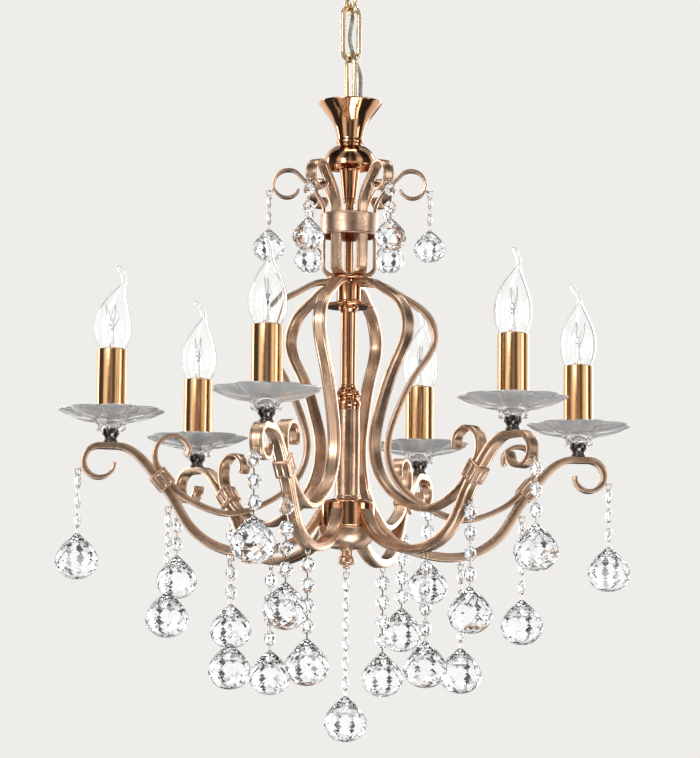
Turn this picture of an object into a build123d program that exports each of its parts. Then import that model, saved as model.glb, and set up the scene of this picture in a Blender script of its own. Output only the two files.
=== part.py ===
"""Crystal chandelier with six candle arms, on two chain links under a ceiling canopy.

Millimetres, +Z up. The origin is the middle of the canopy's rim, where it meets the ceiling.
Arm 1 points along +X and the arms follow every 60 degrees. The chain links, the loops they
hang in and the supply cord share a plane that is turned by CHAIN_TURN from +X.
Turned pieces and wires are cut with flats in place of rounds, so that every seat is a flat one.
"""
import os
from math import atan2, ceil, cos, degrees, pi, radians, sin, sqrt

from build123d import *

os.makedirs("parts", exist_ok=True)

# ---- driving dimensions -------------------------------------------------------------------
ARM_COUNT = 6
RUN_GAP = 0.5  # between a wire and the wire that swings on it
FIT = 0.05  # between a tube and the bore that sits on it

# number of flats on turned pieces
BIG_FLATS = 16
MID_FLATS = 12
SMALL_FLATS = 8
HIDDEN_FLATS = 6
BEND_SAG = 0.75  # how far a bent bar's flats may cut inside its true curve

# ceiling fitting
CANOPY_R = 55.0
CANOPY_DEPTH = 30.0
CANOPY_FLOOR_R = 24.0
CANOPY_WALL = 1.2
BRACKET_LENGTH = 92.0
BRACKET_WIDTH = 16.0
BRACKET_THICK = 2.0
BRACKET_HOLE_SPACING = 70.0
BRACKET_HOLE_R = 2.25
NIPPLE_R = 4.9
NIPPLE_BORE_R = 3.4
COLLAR_R = 9.0
COLLAR_HEIGHT = 10.0
CORD_HOLE_OUT = 16.0  # from the middle of the canopy to the cord's bush
BUSH_R = 4.0
BUSH_FLANGE = 1.2
TERMINAL_SIZE = (18.0, 24.0, 14.0)

# chain
CHAIN_TURN = 14.0  # degrees from +X to the plane of the upper link
WIRE_R = 2.5
LINK_LENGTH = 57.0
LINK_WIDTH = 22.0
CANOPY_LOOP_WIDTH = 24.0
TOP_LOOP_WIDTH = 20.0

# supply cord
CORD_R = 2.0

# centre column, each piece with its own radius and length
TUBE_R = 4.2
TUBE_BORE_R = 2.9
TUBE_STAND = 2.0  # above the trumpet's floor
TRUMPET_OUTLINE = [(29.8, 0.0), (24.4, 8.5), (18.3, 17.0), (14.1, 26.5), (12.2, 35.0)]  # radius, depth
TRUMPET_FLOOR = 8.0
TRUMPET_WALL = 1.3
DOME_OUTLINE = [(11.9, 0.0), (18.6, 3.6), (23.4, 10.0), (25.4, 20.4)]
DOME_WALL = 1.2
CONE_NECK_R = 6.0
CONE_TOP_R = 9.9
CONE_TIP_R = 5.0
CONE_LENGTH = 33.0
BAND_DROP = 66.0  # from the trumpet's underside to the top of the band
BAND_HEIGHT = 21.0
BAND_WALL = 1.5
SPIDER_THICK = 4.0
HUB_DROP = 126.0  # from the trumpet's underside to the hub's plate
HUB_PLATE_R = 21.0
HUB_PLATE_THICK = 3.0
HUB_R = 11.3
HUB_LENGTH = 23.0
HUB_DISC_R = 23.5
HUB_DISC_THICK = 2.8
ROD_R = 7.1
ROD_FLARE_R = 9.5
ROD_LENGTH = 77.0
KNUCKLE_R = 12.7
KNUCKLE_LENGTH = 21.0
COLUMN_R = 11.3
COLUMN_LENGTH = 84.0
DRUM_R = 26.3
DRUM_SHOULDER = 3.5
DRUM_LENGTH = 28.0
CUP_DEPTH = 19.5
CUP_WALL = 1.5
FINIAL_R = 6.1
FINIAL_FLANGE_R = 8.0
FINIAL_LENGTH = 14.5
FINIAL_STEM_R = 3.8
FINIAL_STEM_LENGTH = 3.5

# upper scrolls
SCROLL_TURN = -11.3  # degrees from the arms to the scrolls
SCROLL_THICK = 3.5
SCROLL_TIP_THICK = 2.0
SCROLL_WIDTH = 11.0
SCROLL_FOOT_BEND = 8.0
SCROLL_R = 24.2  # middle of the upright part
SCROLL_CURL_OUT = 59.0  # middle of the curl
SCROLL_CURL_DROP = 37.5  # under the trumpet's underside
SCROLL_CURL_R = 15.0

# cage straps and candle arms: flat bars in upright planes, placed from the drum's middle
CAGE_THICK = 5.0
CAGE_TIP_THICK = 3.0
CAGE_WIDTH = 12.0
ARM_THICK = 8.0
ARM_TOP_THICK = 6.0
ARM_TIP_THICK = 3.0
ARM_WIDTH = 12.0
CANDLE_OUT = 224.7
CLAMP_IN = 48.9  # from a candle inwards to the clamp under it
CLAMP_RISE = 27.0  # above the drum's middle
CLAMP_SLOPE = 50.0
CLAMP_LENGTH = 18.0
CLAMP_WALL = 1.8
CLAMP_SLACK = 0.1
ARM_TOP_RISE = 57.3  # middle of the arm under the candle, above the drum's middle
ARM_SHOULDER = (24.7, 7.5)  # inwards and down from the candle, where the arm bends level
ARM_CURL_BEYOND = 10.3  # from the candle outwards to the middle of the arm's curl
ARM_CURL_R = 15.3
# how both bars run to the clamp, as (out, above the drum's middle), and the span and rise they are drawn at
ARM_RUN = [(39.0, -19.5), (54.0, -29.5), (76.0, -36.5), (100.6, -39.0), (124.0, -34.0), (150.0, -15.0)]
ARM_DRAWN_SPAN = 149.5  # from the drum's side to the clamp's middle
CAGE_RUN = [(50.0, 208.5), (75.8, 191.5), (84.0, 170.5), (67.5, 137.5), (47.0, 97.0), (38.6, 64.0), (47.0, 33.5),
            (80.0, 6.5), (113.0, -3.0), (140.0, 4.0)]
CAGE_DRAWN_SPAN = 151.8  # from the foot's bend to the clamp's middle
CAGE_DRAWN_RISE = 219.3  # from the drum's middle to the foot

# candles
CANDLE_CUP_HEIGHT = 13.0
CANDLE_CUP_R = 8.0
CANDLE_NIPPLE_R = 4.0
DISH_R = 50.5
DISH_HEIGHT = 18.0
DISH_BOSS_R = 9.0
DISH_FLOOR_R = 15.5
DISH_FLOOR_RISE = 11.5
SLEEVE_R = 14.0
SLEEVE_WALL = 1.2
SLEEVE_HEIGHT = 63.0
HOLDER_R = 11.0
HOLDER_HEIGHT = 46.0
HOLDER_RISE = 8.0
SOCKET_R = 7.3
SOCKET_DEPTH = 26.0
CAP_R = 6.9
CAP_HEIGHT = 25.0
GLASS_R = 17.5
GLASS_HEIGHT = 82.0
GLASS_WALL = 0.9
GLASS_SINK = 3.0  # of the bulb's neck, below the top of the sleeve

# crystal strands
BEAD_ACROSS = 14.0
BEAD_THICK = 5.6
BEAD_PITCH = 18.5
BALL_R = 20.0
SMALL_BEAD_ACROSS = 12.0
SMALL_BEAD_THICK = 5.0
SMALL_BEAD_PITCH = 16.2
SMALL_BALL_R = 15.0
PIN_THICK = 1.0
EYE_WIRE = 1.0
EYE_WIDTH = 4.4  # an eye and the ring on it, from wire middle to wire middle
EYE_REACH = 4.9  # from the surface that an eye stands on to the wire that carries the strand
RING_TOP_WIDTH = 6.0
RING_BOTTOM_WIDTH = 2.0
RING_HEIGHT = 4.4
HANG_GAP = 0.3  # between an eye's wire and the wire ring that hangs on it
EYE_TILT = -15.0  # degrees from level, of the eyes on the curls
INNER_STRAND_OUT = 100.6
OUTER_STRAND_IN = 60.2  # from a candle inwards to the outer strand's eye
BALL_HEIGHT = 2.15  # of the ball's radius
BALL_ROWS = [(0.10, 0.0), (0.66, 0.20), (1.0, 0.48), (0.68, 0.84)]  # shares of the radius and of the height

# ---- heights that follow from them --------------------------------------------------------
WIRE_STEP = 2 * WIRE_R + RUN_GAP  # between the middles of two wires, one hung on the other
COLLAR_BOTTOM = -CANOPY_DEPTH - COLLAR_HEIGHT
LOOP_WIRE_Z = COLLAR_BOTTOM + WIRE_R - CANOPY_LOOP_WIDTH + WIRE_R
UPPER_LINK_TOP = LOOP_WIRE_Z + WIRE_STEP
UPPER_LINK_BOTTOM = UPPER_LINK_TOP - LINK_LENGTH + 2 * WIRE_R
LOWER_LINK_TOP = UPPER_LINK_BOTTOM + WIRE_STEP
LOWER_LINK_BOTTOM = LOWER_LINK_TOP - LINK_LENGTH + 2 * WIRE_R
TOP_LOOP_TOP = LOWER_LINK_BOTTOM + WIRE_STEP
TRUMPET_TOP = TOP_LOOP_TOP
TRUMPET_FLOOR_TOP = TRUMPET_TOP - TRUMPET_OUTLINE[-1][1]
TRUMPET_BOTTOM = TRUMPET_FLOOR_TOP - TRUMPET_FLOOR
DOME_BOTTOM = TRUMPET_BOTTOM - DOME_OUTLINE[-1][1]
BAND_TOP = TRUMPET_BOTTOM - BAND_DROP
HUB_TOP = TRUMPET_BOTTOM - HUB_DROP
HUB_BOTTOM = HUB_TOP - HUB_PLATE_THICK - HUB_LENGTH - HUB_DISC_THICK
ROD_BOTTOM = HUB_BOTTOM - ROD_LENGTH
KNUCKLE_BOTTOM = ROD_BOTTOM - KNUCKLE_LENGTH
DRUM_TOP = KNUCKLE_BOTTOM - COLUMN_LENGTH
DRUM_BOTTOM = DRUM_TOP - DRUM_LENGTH
DRUM_MIDDLE = (DRUM_TOP + DRUM_BOTTOM) / 2
CUP_BOTTOM = DRUM_BOTTOM - CUP_DEPTH
FINIAL_BOTTOM = CUP_BOTTOM - FINIAL_LENGTH
TUBE_BOTTOM = CUP_BOTTOM - FINIAL_LENGTH / 2
CLAMP_OUT = CANDLE_OUT - CLAMP_IN
ARM_TOP = DRUM_MIDDLE + ARM_TOP_RISE + ARM_TOP_THICK / 2
DISH_BOTTOM = ARM_TOP + CANDLE_CUP_HEIGHT
DISH_FLOOR = DISH_BOTTOM + DISH_FLOOR_RISE
SLEEVE_TOP = DISH_FLOOR + SLEEVE_HEIGHT
GLASS_BOTTOM = SLEEVE_TOP - GLASS_SINK


# ---- solids with flats --------------------------------------------------------------------
def clear(flat_r, sides):
    """The bore that clears the corners of a piece with flats, at any turn."""
    return flat_r / cos(pi / sides) + FIT


BORE_R = clear(TUBE_R, MID_FLATS)
NIPPLE_HOLE_R = clear(NIPPLE_R, MID_FLATS)


def ring(flat_r, z, sides, shift=0.0, turn=0.0):
    """Corners of a level polygon whose flats lie flat_r from its middle, one flat facing +X."""
    if flat_r == 0:
        return [Vector(shift, 0, z)]
    corner_r = flat_r / cos(pi / sides)
    angles = [radians(turn) + 2 * pi * (i + 0.5) / sides for i in range(sides)]
    return [Vector(corner_r * cos(a) + shift, corner_r * sin(a), z) for a in angles]


def face(corners, hole=None):
    holes = [Wire.make_polygon(hole)] if hole else None
    return Face(Wire.make_polygon(corners), holes)


def between(one, other):
    """Faces between two polygons with as many corners each; either may shrink to a point."""
    count = max(len(one), len(other))
    faces = []
    for i in range(count):
        j = (i + 1) % count
        corners = [one[i % len(one)], one[j % len(one)], other[j % len(other)], other[i % len(other)]]
        if len(one) == 1:
            corners.pop(1)
        if len(other) == 1:
            corners.pop()
        faces.append(face(corners))
    return faces


def turned(profile, sides):
    """A turned piece with flats, from a closed line of (radius, z) or (radius, z, shift) corners."""
    rings = [ring(p[0], p[1], sides, *p[2:]) for p in profile]
    faces = []
    for i, here in enumerate(rings):
        j = (i + 1) % len(rings)
        there = rings[j]
        if len(here) == len(there) == 1:
            continue
        if profile[i][1] != profile[j][1]:
            faces += between(here, there)
            continue
        outer, inner = (here, there) if profile[i][0] > profile[j][0] else (there, here)
        faces.append(face(outer, inner if len(inner) > 1 else None))
    return Solid(Shell(faces))


def bend(flat_r, start, end, step):
    """Corners of an arc bent in flats, as (across, up) from its middle; angles in degrees."""
    count = round(abs(end - start) / step)
    turn = (end - start) / count
    corner_r = flat_r / cos(radians(turn / 2))
    angles = [radians(start + (i + 0.5) * turn) for i in range(count)]
    return [(corner_r * cos(a), corner_r * sin(a)) for a in angles]


def wire(points, wire_r, sides, across, closed=False):
    """Wire with flats that lie wire_r from its middle, in straight runs mitred where they meet.
    One flat faces the way of across, which is square to the first run."""
    count = len(points)
    runs = [(points[(i + 1) % count] - points[i]).normalized() for i in range(count if closed else count - 1)]
    across = Vector(*across)
    other = runs[0].cross(across)
    corner_r = wire_r / cos(pi / sides)
    angles = [2 * pi * (k + 0.5) / sides for k in range(sides)]
    section = [points[0] + (across * cos(a) + other * sin(a)) * corner_r for a in angles]
    rings = []
    for i, point in enumerate(points):
        into = runs[i - 1] if closed or i > 0 else runs[0]
        out = runs[i] if i < len(runs) else runs[-1]
        along = runs[0] if i == 0 else into
        mitre = into + out
        section = [corner + along * ((point - corner).dot(mitre) / along.dot(mitre)) for corner in section]
        rings.append(section)
    faces = [] if closed else [face(rings[0]), face(rings[-1])]
    for i in range(len(runs)):
        faces += between(rings[i], rings[(i + 1) % count])
    return Solid(Shell(faces))


def upright(points):
    """Points of the XZ plane from (across, up) pairs."""
    return [Vector(x, 0, z) for x, z in points]


def oval_link(length, width):
    """An oval link in the XZ plane, its upper wire's middle at z = 0 and the link hanging below."""
    bend_r = width / 2 - WIRE_R
    drop = length - width
    upper = [(x, z - bend_r) for x, z in bend(bend_r, 0, 180, 30)]
    lower = [(x, z - bend_r - drop) for x, z in bend(bend_r, 180, 360, 30)]
    return wire(upright(upper + lower), WIRE_R, SMALL_FLATS, (0, 1, 0), closed=True)


def place(solid, out=0.0, azimuth=0.0, z=0.0):
    return Rot(0, 0, azimuth) * Pos(out, 0, z) * solid


def arm_azimuths(turn=0.0):
    return [turn + 360 * i / ARM_COUNT for i in range(ARM_COUNT)]


def around(solid, out=0.0, z=0.0, turn=0.0):
    """One copy of a solid for each arm."""
    return [place(solid, out, a, z) for a in arm_azimuths(turn)]


# ---- flat bars bent in an upright plane ---------------------------------------------------
def direction(degrees_up):
    return Vector(cos(radians(degrees_up)), 0, sin(radians(degrees_up)))


def curl(middle, radius, start, end, step, shrink=0.0):
    """Points of a curl in the XZ plane, its radius less by shrink at the end."""
    count = round(abs(end - start) / step)
    points = []
    for i in range(count + 1):
        share = i / count
        points.append(middle + direction(start + (end - start) * share) * (radius - shrink * share))
    return points


def corner_shares(curve):
    """Shares along a curve for the corners of a bar bent in flats, closer where it bends tighter."""
    fine = [i / 200 for i in range(201)]
    flats = [0.0]
    for a, b in zip(fine, fine[1:]):
        turn = radians((curve % a).get_angle(curve % b))
        length = ((curve @ b) - (curve @ a)).length
        flats.append(flats[-1] + sqrt((turn + 1e-9) * length / (8 * BEND_SAG)))
    count = max(1, ceil(flats[-1] - 0.01))
    wanted = [flats[-1] * i / count for i in range(count + 1)]
    return [min(zip(flats, fine), key=lambda found: abs(found[0] - want))[1] for want in wanted]


def bar_sides(spans):
    """Both sides of a flat bar, as (left, right) points of its run.
    Each span is (curve, thickness at its start, thickness at its end)."""
    left, right = [], []
    for number, (curve, thick, end_thick) in enumerate(spans):
        for t in corner_shares(curve)[min(number, 1):]:
            run = curve % t
            half = Vector(-run.Z, 0, run.X) * (thick + (end_thick - thick) * t) / 2
            left.append((curve @ t) + half)
            right.append((curve @ t) - half)
    return left, right


def flat_bar(spans, width, foot_out=None):
    """A bar bent on edge. With foot_out, its first end is cut upright at that distance from the middle."""
    left, right = bar_sides(spans)
    for side in (left, right) if foot_out else ():
        run = side[1] - side[0]
        side[0] += run * ((foot_out - side[0].X) / run.X)
    return extrude(face(left + right[::-1]), width / 2, dir=(0, 1, 0), both=True).solid()


# ---- ceiling fitting ----------------------------------------------------------------------
def ceiling_bracket():
    bar = Pos(0, 0, -BRACKET_THICK / 2) * Box(BRACKET_LENGTH, BRACKET_WIDTH, BRACKET_THICK)
    hole = Pos(0, 0, -BRACKET_THICK / 2) * Cylinder(BRACKET_HOLE_R, 2 * BRACKET_THICK)
    for side in (-1, 1):
        bar -= Pos(side * BRACKET_HOLE_SPACING / 2, 0, 0) * hole
    bore = turned([(0, 1), (NIPPLE_HOLE_R, 1), (NIPPLE_HOLE_R, -2 * BRACKET_THICK), (0, -2 * BRACKET_THICK)],
                  MID_FLATS)
    return (bar - bore).solid()


def canopy():
    shape = [(CANOPY_R, 0.0), (CANOPY_R - 5.0, 12.0), (CANOPY_R - 16.0, 21.0), (CANOPY_FLOOR_R, CANOPY_DEPTH)]
    outside = [(r, -depth) for r, depth in shape]
    inside = [(r - CANOPY_WALL, -depth) for r, depth in shape[:-1]]
    floor = -CANOPY_DEPTH + CANOPY_WALL
    inside.append((CANOPY_FLOOR_R - CANOPY_WALL, floor))
    bore = [(NIPPLE_HOLE_R, -CANOPY_DEPTH), (NIPPLE_HOLE_R, floor)]
    shell = turned(outside + bore + inside[::-1], BIG_FLATS)
    hole = turned([(0, 2), (BUSH_R + FIT, 2), (BUSH_R + FIT, -4), (0, -4)], MID_FLATS)
    return (shell - cord_place(Pos(0, 0, floor) * hole)).solid()


def cord_place(solid):
    """Moves a solid from the middle to where the cord leaves the canopy."""
    return Rot(0, 0, CHAIN_TURN + 90) * Pos(CORD_HOLE_OUT, 0, 0) * solid


def canopy_nipple():
    bottom = COLLAR_BOTTOM + COLLAR_HEIGHT / 2
    return turned([(NIPPLE_BORE_R, 0), (NIPPLE_R, 0), (NIPPLE_R, bottom), (NIPPLE_BORE_R, bottom)], MID_FLATS)


def canopy_loop():
    top = -CANOPY_DEPTH
    seat = COLLAR_BOTTOM + COLLAR_HEIGHT / 2
    bore = NIPPLE_HOLE_R
    collar = turned([(bore, top), (COLLAR_R - 1.5, top), (COLLAR_R, top - 2.0), (COLLAR_R, COLLAR_BOTTOM + 2.5),
                     (COLLAR_R - 3.0, COLLAR_BOTTOM), (0, COLLAR_BOTTOM), (0, seat), (bore, seat)], MID_FLATS)
    loop = oval_link(CANOPY_LOOP_WIDTH, CANOPY_LOOP_WIDTH)
    loop = Pos(0, 0, LOOP_WIRE_Z + CANOPY_LOOP_WIDTH - 2 * WIRE_R) * loop
    return (collar + Rot(0, 0, CHAIN_TURN + 90) * loop).solid()


def terminal_block():
    length, width, height = TERMINAL_SIZE
    block = Pos(0, 0, -BRACKET_THICK - height / 2) * Box(length, width, height)
    entry = turned([(0, 0), (CORD_R + 0.5, 0), (CORD_R + 0.5, -6), (0, -6)], MID_FLATS)
    return (cord_place(block) - Pos(0, 0, -BRACKET_THICK - height + 5) * cord_place(entry)).solid()


def cord_bush():
    bore = clear(CORD_R, SMALL_FLATS)
    top = -CANOPY_DEPTH + CANOPY_WALL + BUSH_FLANGE
    below = -CANOPY_DEPTH - BUSH_FLANGE
    return cord_place(turned([(bore, top), (BUSH_R, top), (BUSH_R, -CANOPY_DEPTH), (BUSH_R + 1.5, -CANOPY_DEPTH),
                              (BUSH_R + 1.5, below), (bore, below)], MID_FLATS))


# ---- chain and cord -----------------------------------------------------------------------
def chain_link(top, turn):
    return Rot(0, 0, CHAIN_TURN + turn) * Pos(0, 0, top) * oval_link(LINK_LENGTH, LINK_WIDTH)


def top_loop():
    """The eye that the chandelier hangs by: a bow with both feet on the trumpet's floor."""
    bend_r = TOP_LOOP_WIDTH / 2 - WIRE_R
    middle = TOP_LOOP_TOP - bend_r
    bow = [(x, z + middle) for x, z in bend(bend_r, 0, 180, 30)]
    points = upright([(bend_r, TRUMPET_FLOOR_TOP), *bow, (-bend_r, TRUMPET_FLOOR_TOP)])
    return Rot(0, 0, CHAIN_TURN) * wire(points, WIRE_R, SMALL_FLATS, (0, 1, 0))


# the cord's route beside the chain, as (along the upper link, across it, z)
CORD_ROUTE = [
    (0.0, 16.0, -13.0),
    (0.0, 16.0, -40.0),
    (4.8, 12.4, -48.5),
    (6.0, 8.5, -60.0),
    (3.0, 6.1, -71.5),
    (0.8, 5.6, -83.5),
    (4.4, 6.2, -95.0),
    (8.6, 5.6, -106.5),
    (10.8, 0.5, -118.5),
    (9.0, -4.0, -131.0),
    (7.2, -6.6, -143.5),
    (5.4, -6.8, -155.0),
    (1.7, -3.6, -165.5),
    (0.0, 0.0, -176.0),
    (0.0, 0.0, -187.0),
]


def supply_cord():
    """The cord bent in flats: each corner of its route is cut at a quarter of the runs beside it."""
    route = [Vector(*p) for p in CORD_ROUTE]
    points = [route[0]]
    for before, here, after in zip(route, route[1:], route[2:]):
        points += [here + (before - here) * 0.25, here + (after - here) * 0.25]
    points.append(route[-1])
    return Rot(0, 0, CHAIN_TURN) * wire(points, CORD_R, SMALL_FLATS, (1, 0, 0))


# ---- centre column ------------------------------------------------------------------------
def centre_tube():
    top = TRUMPET_FLOOR_TOP + TUBE_STAND
    return turned([(TUBE_BORE_R, top), (TUBE_R, top), (TUBE_R, TUBE_BOTTOM), (TUBE_BORE_R, TUBE_BOTTOM)],
                  MID_FLATS)


def trumpet_cup():
    outside = [(r, TRUMPET_TOP - depth) for r, depth in TRUMPET_OUTLINE]
    inside = [(r - TRUMPET_WALL, z) for r, z in outside]
    foot = [(TRUMPET_OUTLINE[-1][0] - 0.3, TRUMPET_BOTTOM), (BORE_R, TRUMPET_BOTTOM), (BORE_R, TRUMPET_FLOOR_TOP)]
    return turned(outside + foot + inside[::-1], BIG_FLATS)


def dome_cap():
    outside = [(r, TRUMPET_BOTTOM - depth) for r, depth in DOME_OUTLINE]
    ceiling = TRUMPET_BOTTOM - DOME_WALL
    inside = [(r - DOME_WALL, z) for r, z in outside[1:]]
    return turned([(BORE_R, TRUMPET_BOTTOM), *outside, *inside[::-1],
                   (DOME_OUTLINE[0][0] - 0.6, ceiling), (BORE_R, ceiling)], BIG_FLATS)


def column_cone():
    top = TRUMPET_BOTTOM - DOME_WALL
    shoulder = DOME_BOTTOM - 1.0
    return turned([(BORE_R, top), (CONE_NECK_R, top), (CONE_NECK_R, shoulder), (CONE_TOP_R, shoulder),
                   (CONE_TOP_R, shoulder - 1.5), (CONE_TIP_R, shoulder - CONE_LENGTH),
                   (BORE_R, shoulder - CONE_LENGTH)], MID_FLATS)


def scroll_band():
    inner = SCROLL_R + SCROLL_THICK / 2 + FIT
    bottom = BAND_TOP - BAND_HEIGHT
    band = turned([(inner, BAND_TOP), (inner + BAND_WALL, BAND_TOP), (inner + BAND_WALL, bottom), (inner, bottom)],
                  MID_FLATS)
    return Rot(0, 0, SCROLL_TURN) * band


def spider_plate():
    rim = SCROLL_R - SCROLL_THICK / 2 - FIT
    top = BAND_TOP - (BAND_HEIGHT - SPIDER_THICK) / 2
    boss = top + 5.0
    bottom = top - SPIDER_THICK
    plate = turned([(BORE_R, boss), (BORE_R + 2.5, boss), (BORE_R + 2.5, top), (rim, top), (rim, bottom),
                    (BORE_R, bottom)], MID_FLATS)
    return Rot(0, 0, SCROLL_TURN) * plate


def upper_hub():
    under_plate = HUB_TOP - HUB_PLATE_THICK
    disc_top = under_plate - HUB_LENGTH
    return turned([(BORE_R, HUB_TOP), (HUB_PLATE_R, HUB_TOP), (HUB_PLATE_R, under_plate), (HUB_R, under_plate),
                   (HUB_R, disc_top), (HUB_DISC_R, disc_top), (HUB_DISC_R, HUB_BOTTOM), (BORE_R, HUB_BOTTOM)],
                  BIG_FLATS)


def centre_rod():
    return turned([(BORE_R, HUB_BOTTOM), (ROD_FLARE_R, HUB_BOTTOM), (ROD_R, HUB_BOTTOM - 5.0), (ROD_R, ROD_BOTTOM),
                   (BORE_R, ROD_BOTTOM)], MID_FLATS)


def mid_knuckle():
    shape = [(8.5, 0.0), (KNUCKLE_R, 0.27), (9.5, 0.48), (KNUCKLE_R - 0.5, 0.74), (COLUMN_R, 1.0)]
    outside = [(r, ROD_BOTTOM - KNUCKLE_LENGTH * share) for r, share in shape]
    return turned([(BORE_R, ROD_BOTTOM), *outside, (BORE_R, KNUCKLE_BOTTOM)], MID_FLATS)


def lower_column():
    return turned([(BORE_R, KNUCKLE_BOTTOM), (COLUMN_R, KNUCKLE_BOTTOM), (COLUMN_R, DRUM_TOP), (BORE_R, DRUM_TOP)],
                  MID_FLATS)


def arm_drum():
    return turned([(BORE_R, DRUM_TOP), (DRUM_R / 2, DRUM_TOP), (DRUM_R, DRUM_TOP - DRUM_SHOULDER),
                   (DRUM_R, DRUM_BOTTOM), (BORE_R, DRUM_BOTTOM)], MID_FLATS)


def bottom_cup():
    shape = [(1.0, 0.0), (0.98, 0.36), (0.80, 0.77), (0.46, 0.97), (0.25, 1.0)]  # shares of radius and depth
    outside = [(DRUM_R * r, DRUM_BOTTOM - CUP_DEPTH * depth) for r, depth in shape]
    inside = [(r - CUP_WALL, z + (CUP_WALL if i > 1 else 0)) for i, (r, z) in enumerate(outside[:-1])]
    floor = inside[-1][1]
    return turned([*outside, (BORE_R, CUP_BOTTOM), (BORE_R, floor), *inside[::-1]], MID_FLATS)


def bottom_finial():
    flange = FINIAL_BOTTOM + FINIAL_LENGTH * 0.45
    stem = FINIAL_BOTTOM - FINIAL_STEM_LENGTH
    return turned([(BORE_R, CUP_BOTTOM), (FINIAL_R, CUP_BOTTOM), (FINIAL_R, flange), (FINIAL_FLANGE_R, flange),
                   (FINIAL_FLANGE_R, FINIAL_BOTTOM), (FINIAL_STEM_R, FINIAL_BOTTOM), (FINIAL_STEM_R, stem),
                   (0, stem), (0, TUBE_BOTTOM), (BORE_R, TUBE_BOTTOM)], MID_FLATS)


# ---- scrolls, cage and arms ---------------------------------------------------------------
SCROLL_CURL = Vector(SCROLL_CURL_OUT, 0, TRUMPET_BOTTOM - SCROLL_CURL_DROP)
ARM_CURL = Vector(CANDLE_OUT + ARM_CURL_BEYOND, 0, DRUM_MIDDLE + ARM_TOP_RISE - ARM_CURL_R)
CLAMP = Vector(CLAMP_OUT, 0, DRUM_MIDDLE + CLAMP_RISE)
CLAMP_RUN = direction(CLAMP_SLOPE)
CLAMP_ACROSS = direction(CLAMP_SLOPE - 90)  # outwards and down
CAGE_AT_CLAMP = CLAMP - CLAMP_ACROSS * (ARM_THICK / 2)
ARM_AT_CLAMP = CLAMP + CLAMP_ACROSS * (CAGE_THICK / 2)


def upper_scroll_spans():
    foot_z = HUB_TOP + SCROLL_THICK / 2
    rise_z = foot_z + SCROLL_FOOT_BEND
    foot = Line((HUB_R, 0, foot_z), (SCROLL_R - SCROLL_FOOT_BEND, 0, foot_z))
    bent = Spline(foot @ 1, (SCROLL_R, 0, rise_z), tangents=[(1, 0, 0), (0, 0, 1)])
    straight = Line(bent @ 1, (SCROLL_R, 0, BAND_TOP + 2.0))
    top = curl(SCROLL_CURL, SCROLL_CURL_R, 150, -160, 31, shrink=3.5)
    rise = Spline(straight @ 1, (SCROLL_R + 5.0, 0, BAND_TOP + 17.0), *top, tangents=[(0, 0, 1), direction(110)])
    return [(foot, SCROLL_THICK, SCROLL_THICK), (bent, SCROLL_THICK, SCROLL_THICK),
            (straight, SCROLL_THICK, SCROLL_THICK), (rise, SCROLL_THICK, SCROLL_TIP_THICK)]


def drawn_run(run, start_out, span, rise=1.0):
    """Points of a bar's run, its span and rise in proportion to the drawn ones."""
    return [(start_out + (out - start_out) * span, 0, DRUM_MIDDLE + up * rise) for out, up in run]


def held_run(middle):
    """The straight run of a bar through its clamp."""
    half = CLAMP_RUN * (CLAMP_LENGTH / 2 + 1)
    return Line(middle - half, middle + half)


def cage_strap_spans():
    foot_z = HUB_TOP - HUB_PLATE_THICK - CAGE_THICK / 2
    foot_out = HUB_PLATE_R + 3.0
    held = held_run(CAGE_AT_CLAMP)
    foot = Line((HUB_R + 0.5, 0, foot_z), (foot_out, 0, foot_z))
    span = (CLAMP_OUT - foot_out) / CAGE_DRAWN_SPAN
    rise = (foot_z - DRUM_MIDDLE) / CAGE_DRAWN_RISE
    cage = Spline(foot @ 1, *drawn_run(CAGE_RUN, foot_out, span, rise), held @ 0, tangents=[(1, 0, 0), CLAMP_RUN])
    end = held @ 1
    tip = Spline(end, end + Vector(3.6, 0, 9.0), end + Vector(2.0, 0, 22.0), end + Vector(-7.5, 0, 30.0),
                 end + Vector(-20.0, 0, 29.5), end + Vector(-28.0, 0, 20.5), end + Vector(-26.5, 0, 12.0),
                 tangents=[CLAMP_RUN, direction(-60)])
    return [(foot, CAGE_THICK, CAGE_THICK), (cage, CAGE_THICK, CAGE_THICK),
            (held, CAGE_THICK, CAGE_THICK), (tip, CAGE_THICK, CAGE_TIP_THICK)]


def candle_arm_spans():
    held = held_run(ARM_AT_CLAMP)
    span = (CLAMP_OUT - DRUM_R) / ARM_DRAWN_SPAN
    inner = Spline((DRUM_R, 0, DRUM_MIDDLE - 1.0), *drawn_run(ARM_RUN, DRUM_R, span), held @ 0,
                   tangents=[direction(-62), CLAMP_RUN])
    top_z = DRUM_MIDDLE + ARM_TOP_RISE
    seat_half = CANDLE_CUP_R - 1.5
    shoulder_in, shoulder_drop = ARM_SHOULDER
    over = Spline(held @ 1, (CANDLE_OUT - shoulder_in, 0, top_z - shoulder_drop), (CANDLE_OUT - seat_half, 0, top_z),
                  tangents=[CLAMP_RUN, (1, 0, 0)])
    level = Line(over @ 1, (CANDLE_OUT + seat_half, 0, top_z))
    tip = Spline(level @ 1, *curl(ARM_CURL, ARM_CURL_R, 90, -180, 30, shrink=1.3))
    return [(inner, ARM_THICK, ARM_THICK), (held, ARM_THICK, ARM_THICK), (over, ARM_THICK, ARM_TOP_THICK),
            (level, ARM_TOP_THICK, ARM_TOP_THICK), (tip, ARM_TOP_THICK, ARM_TIP_THICK)]


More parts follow.
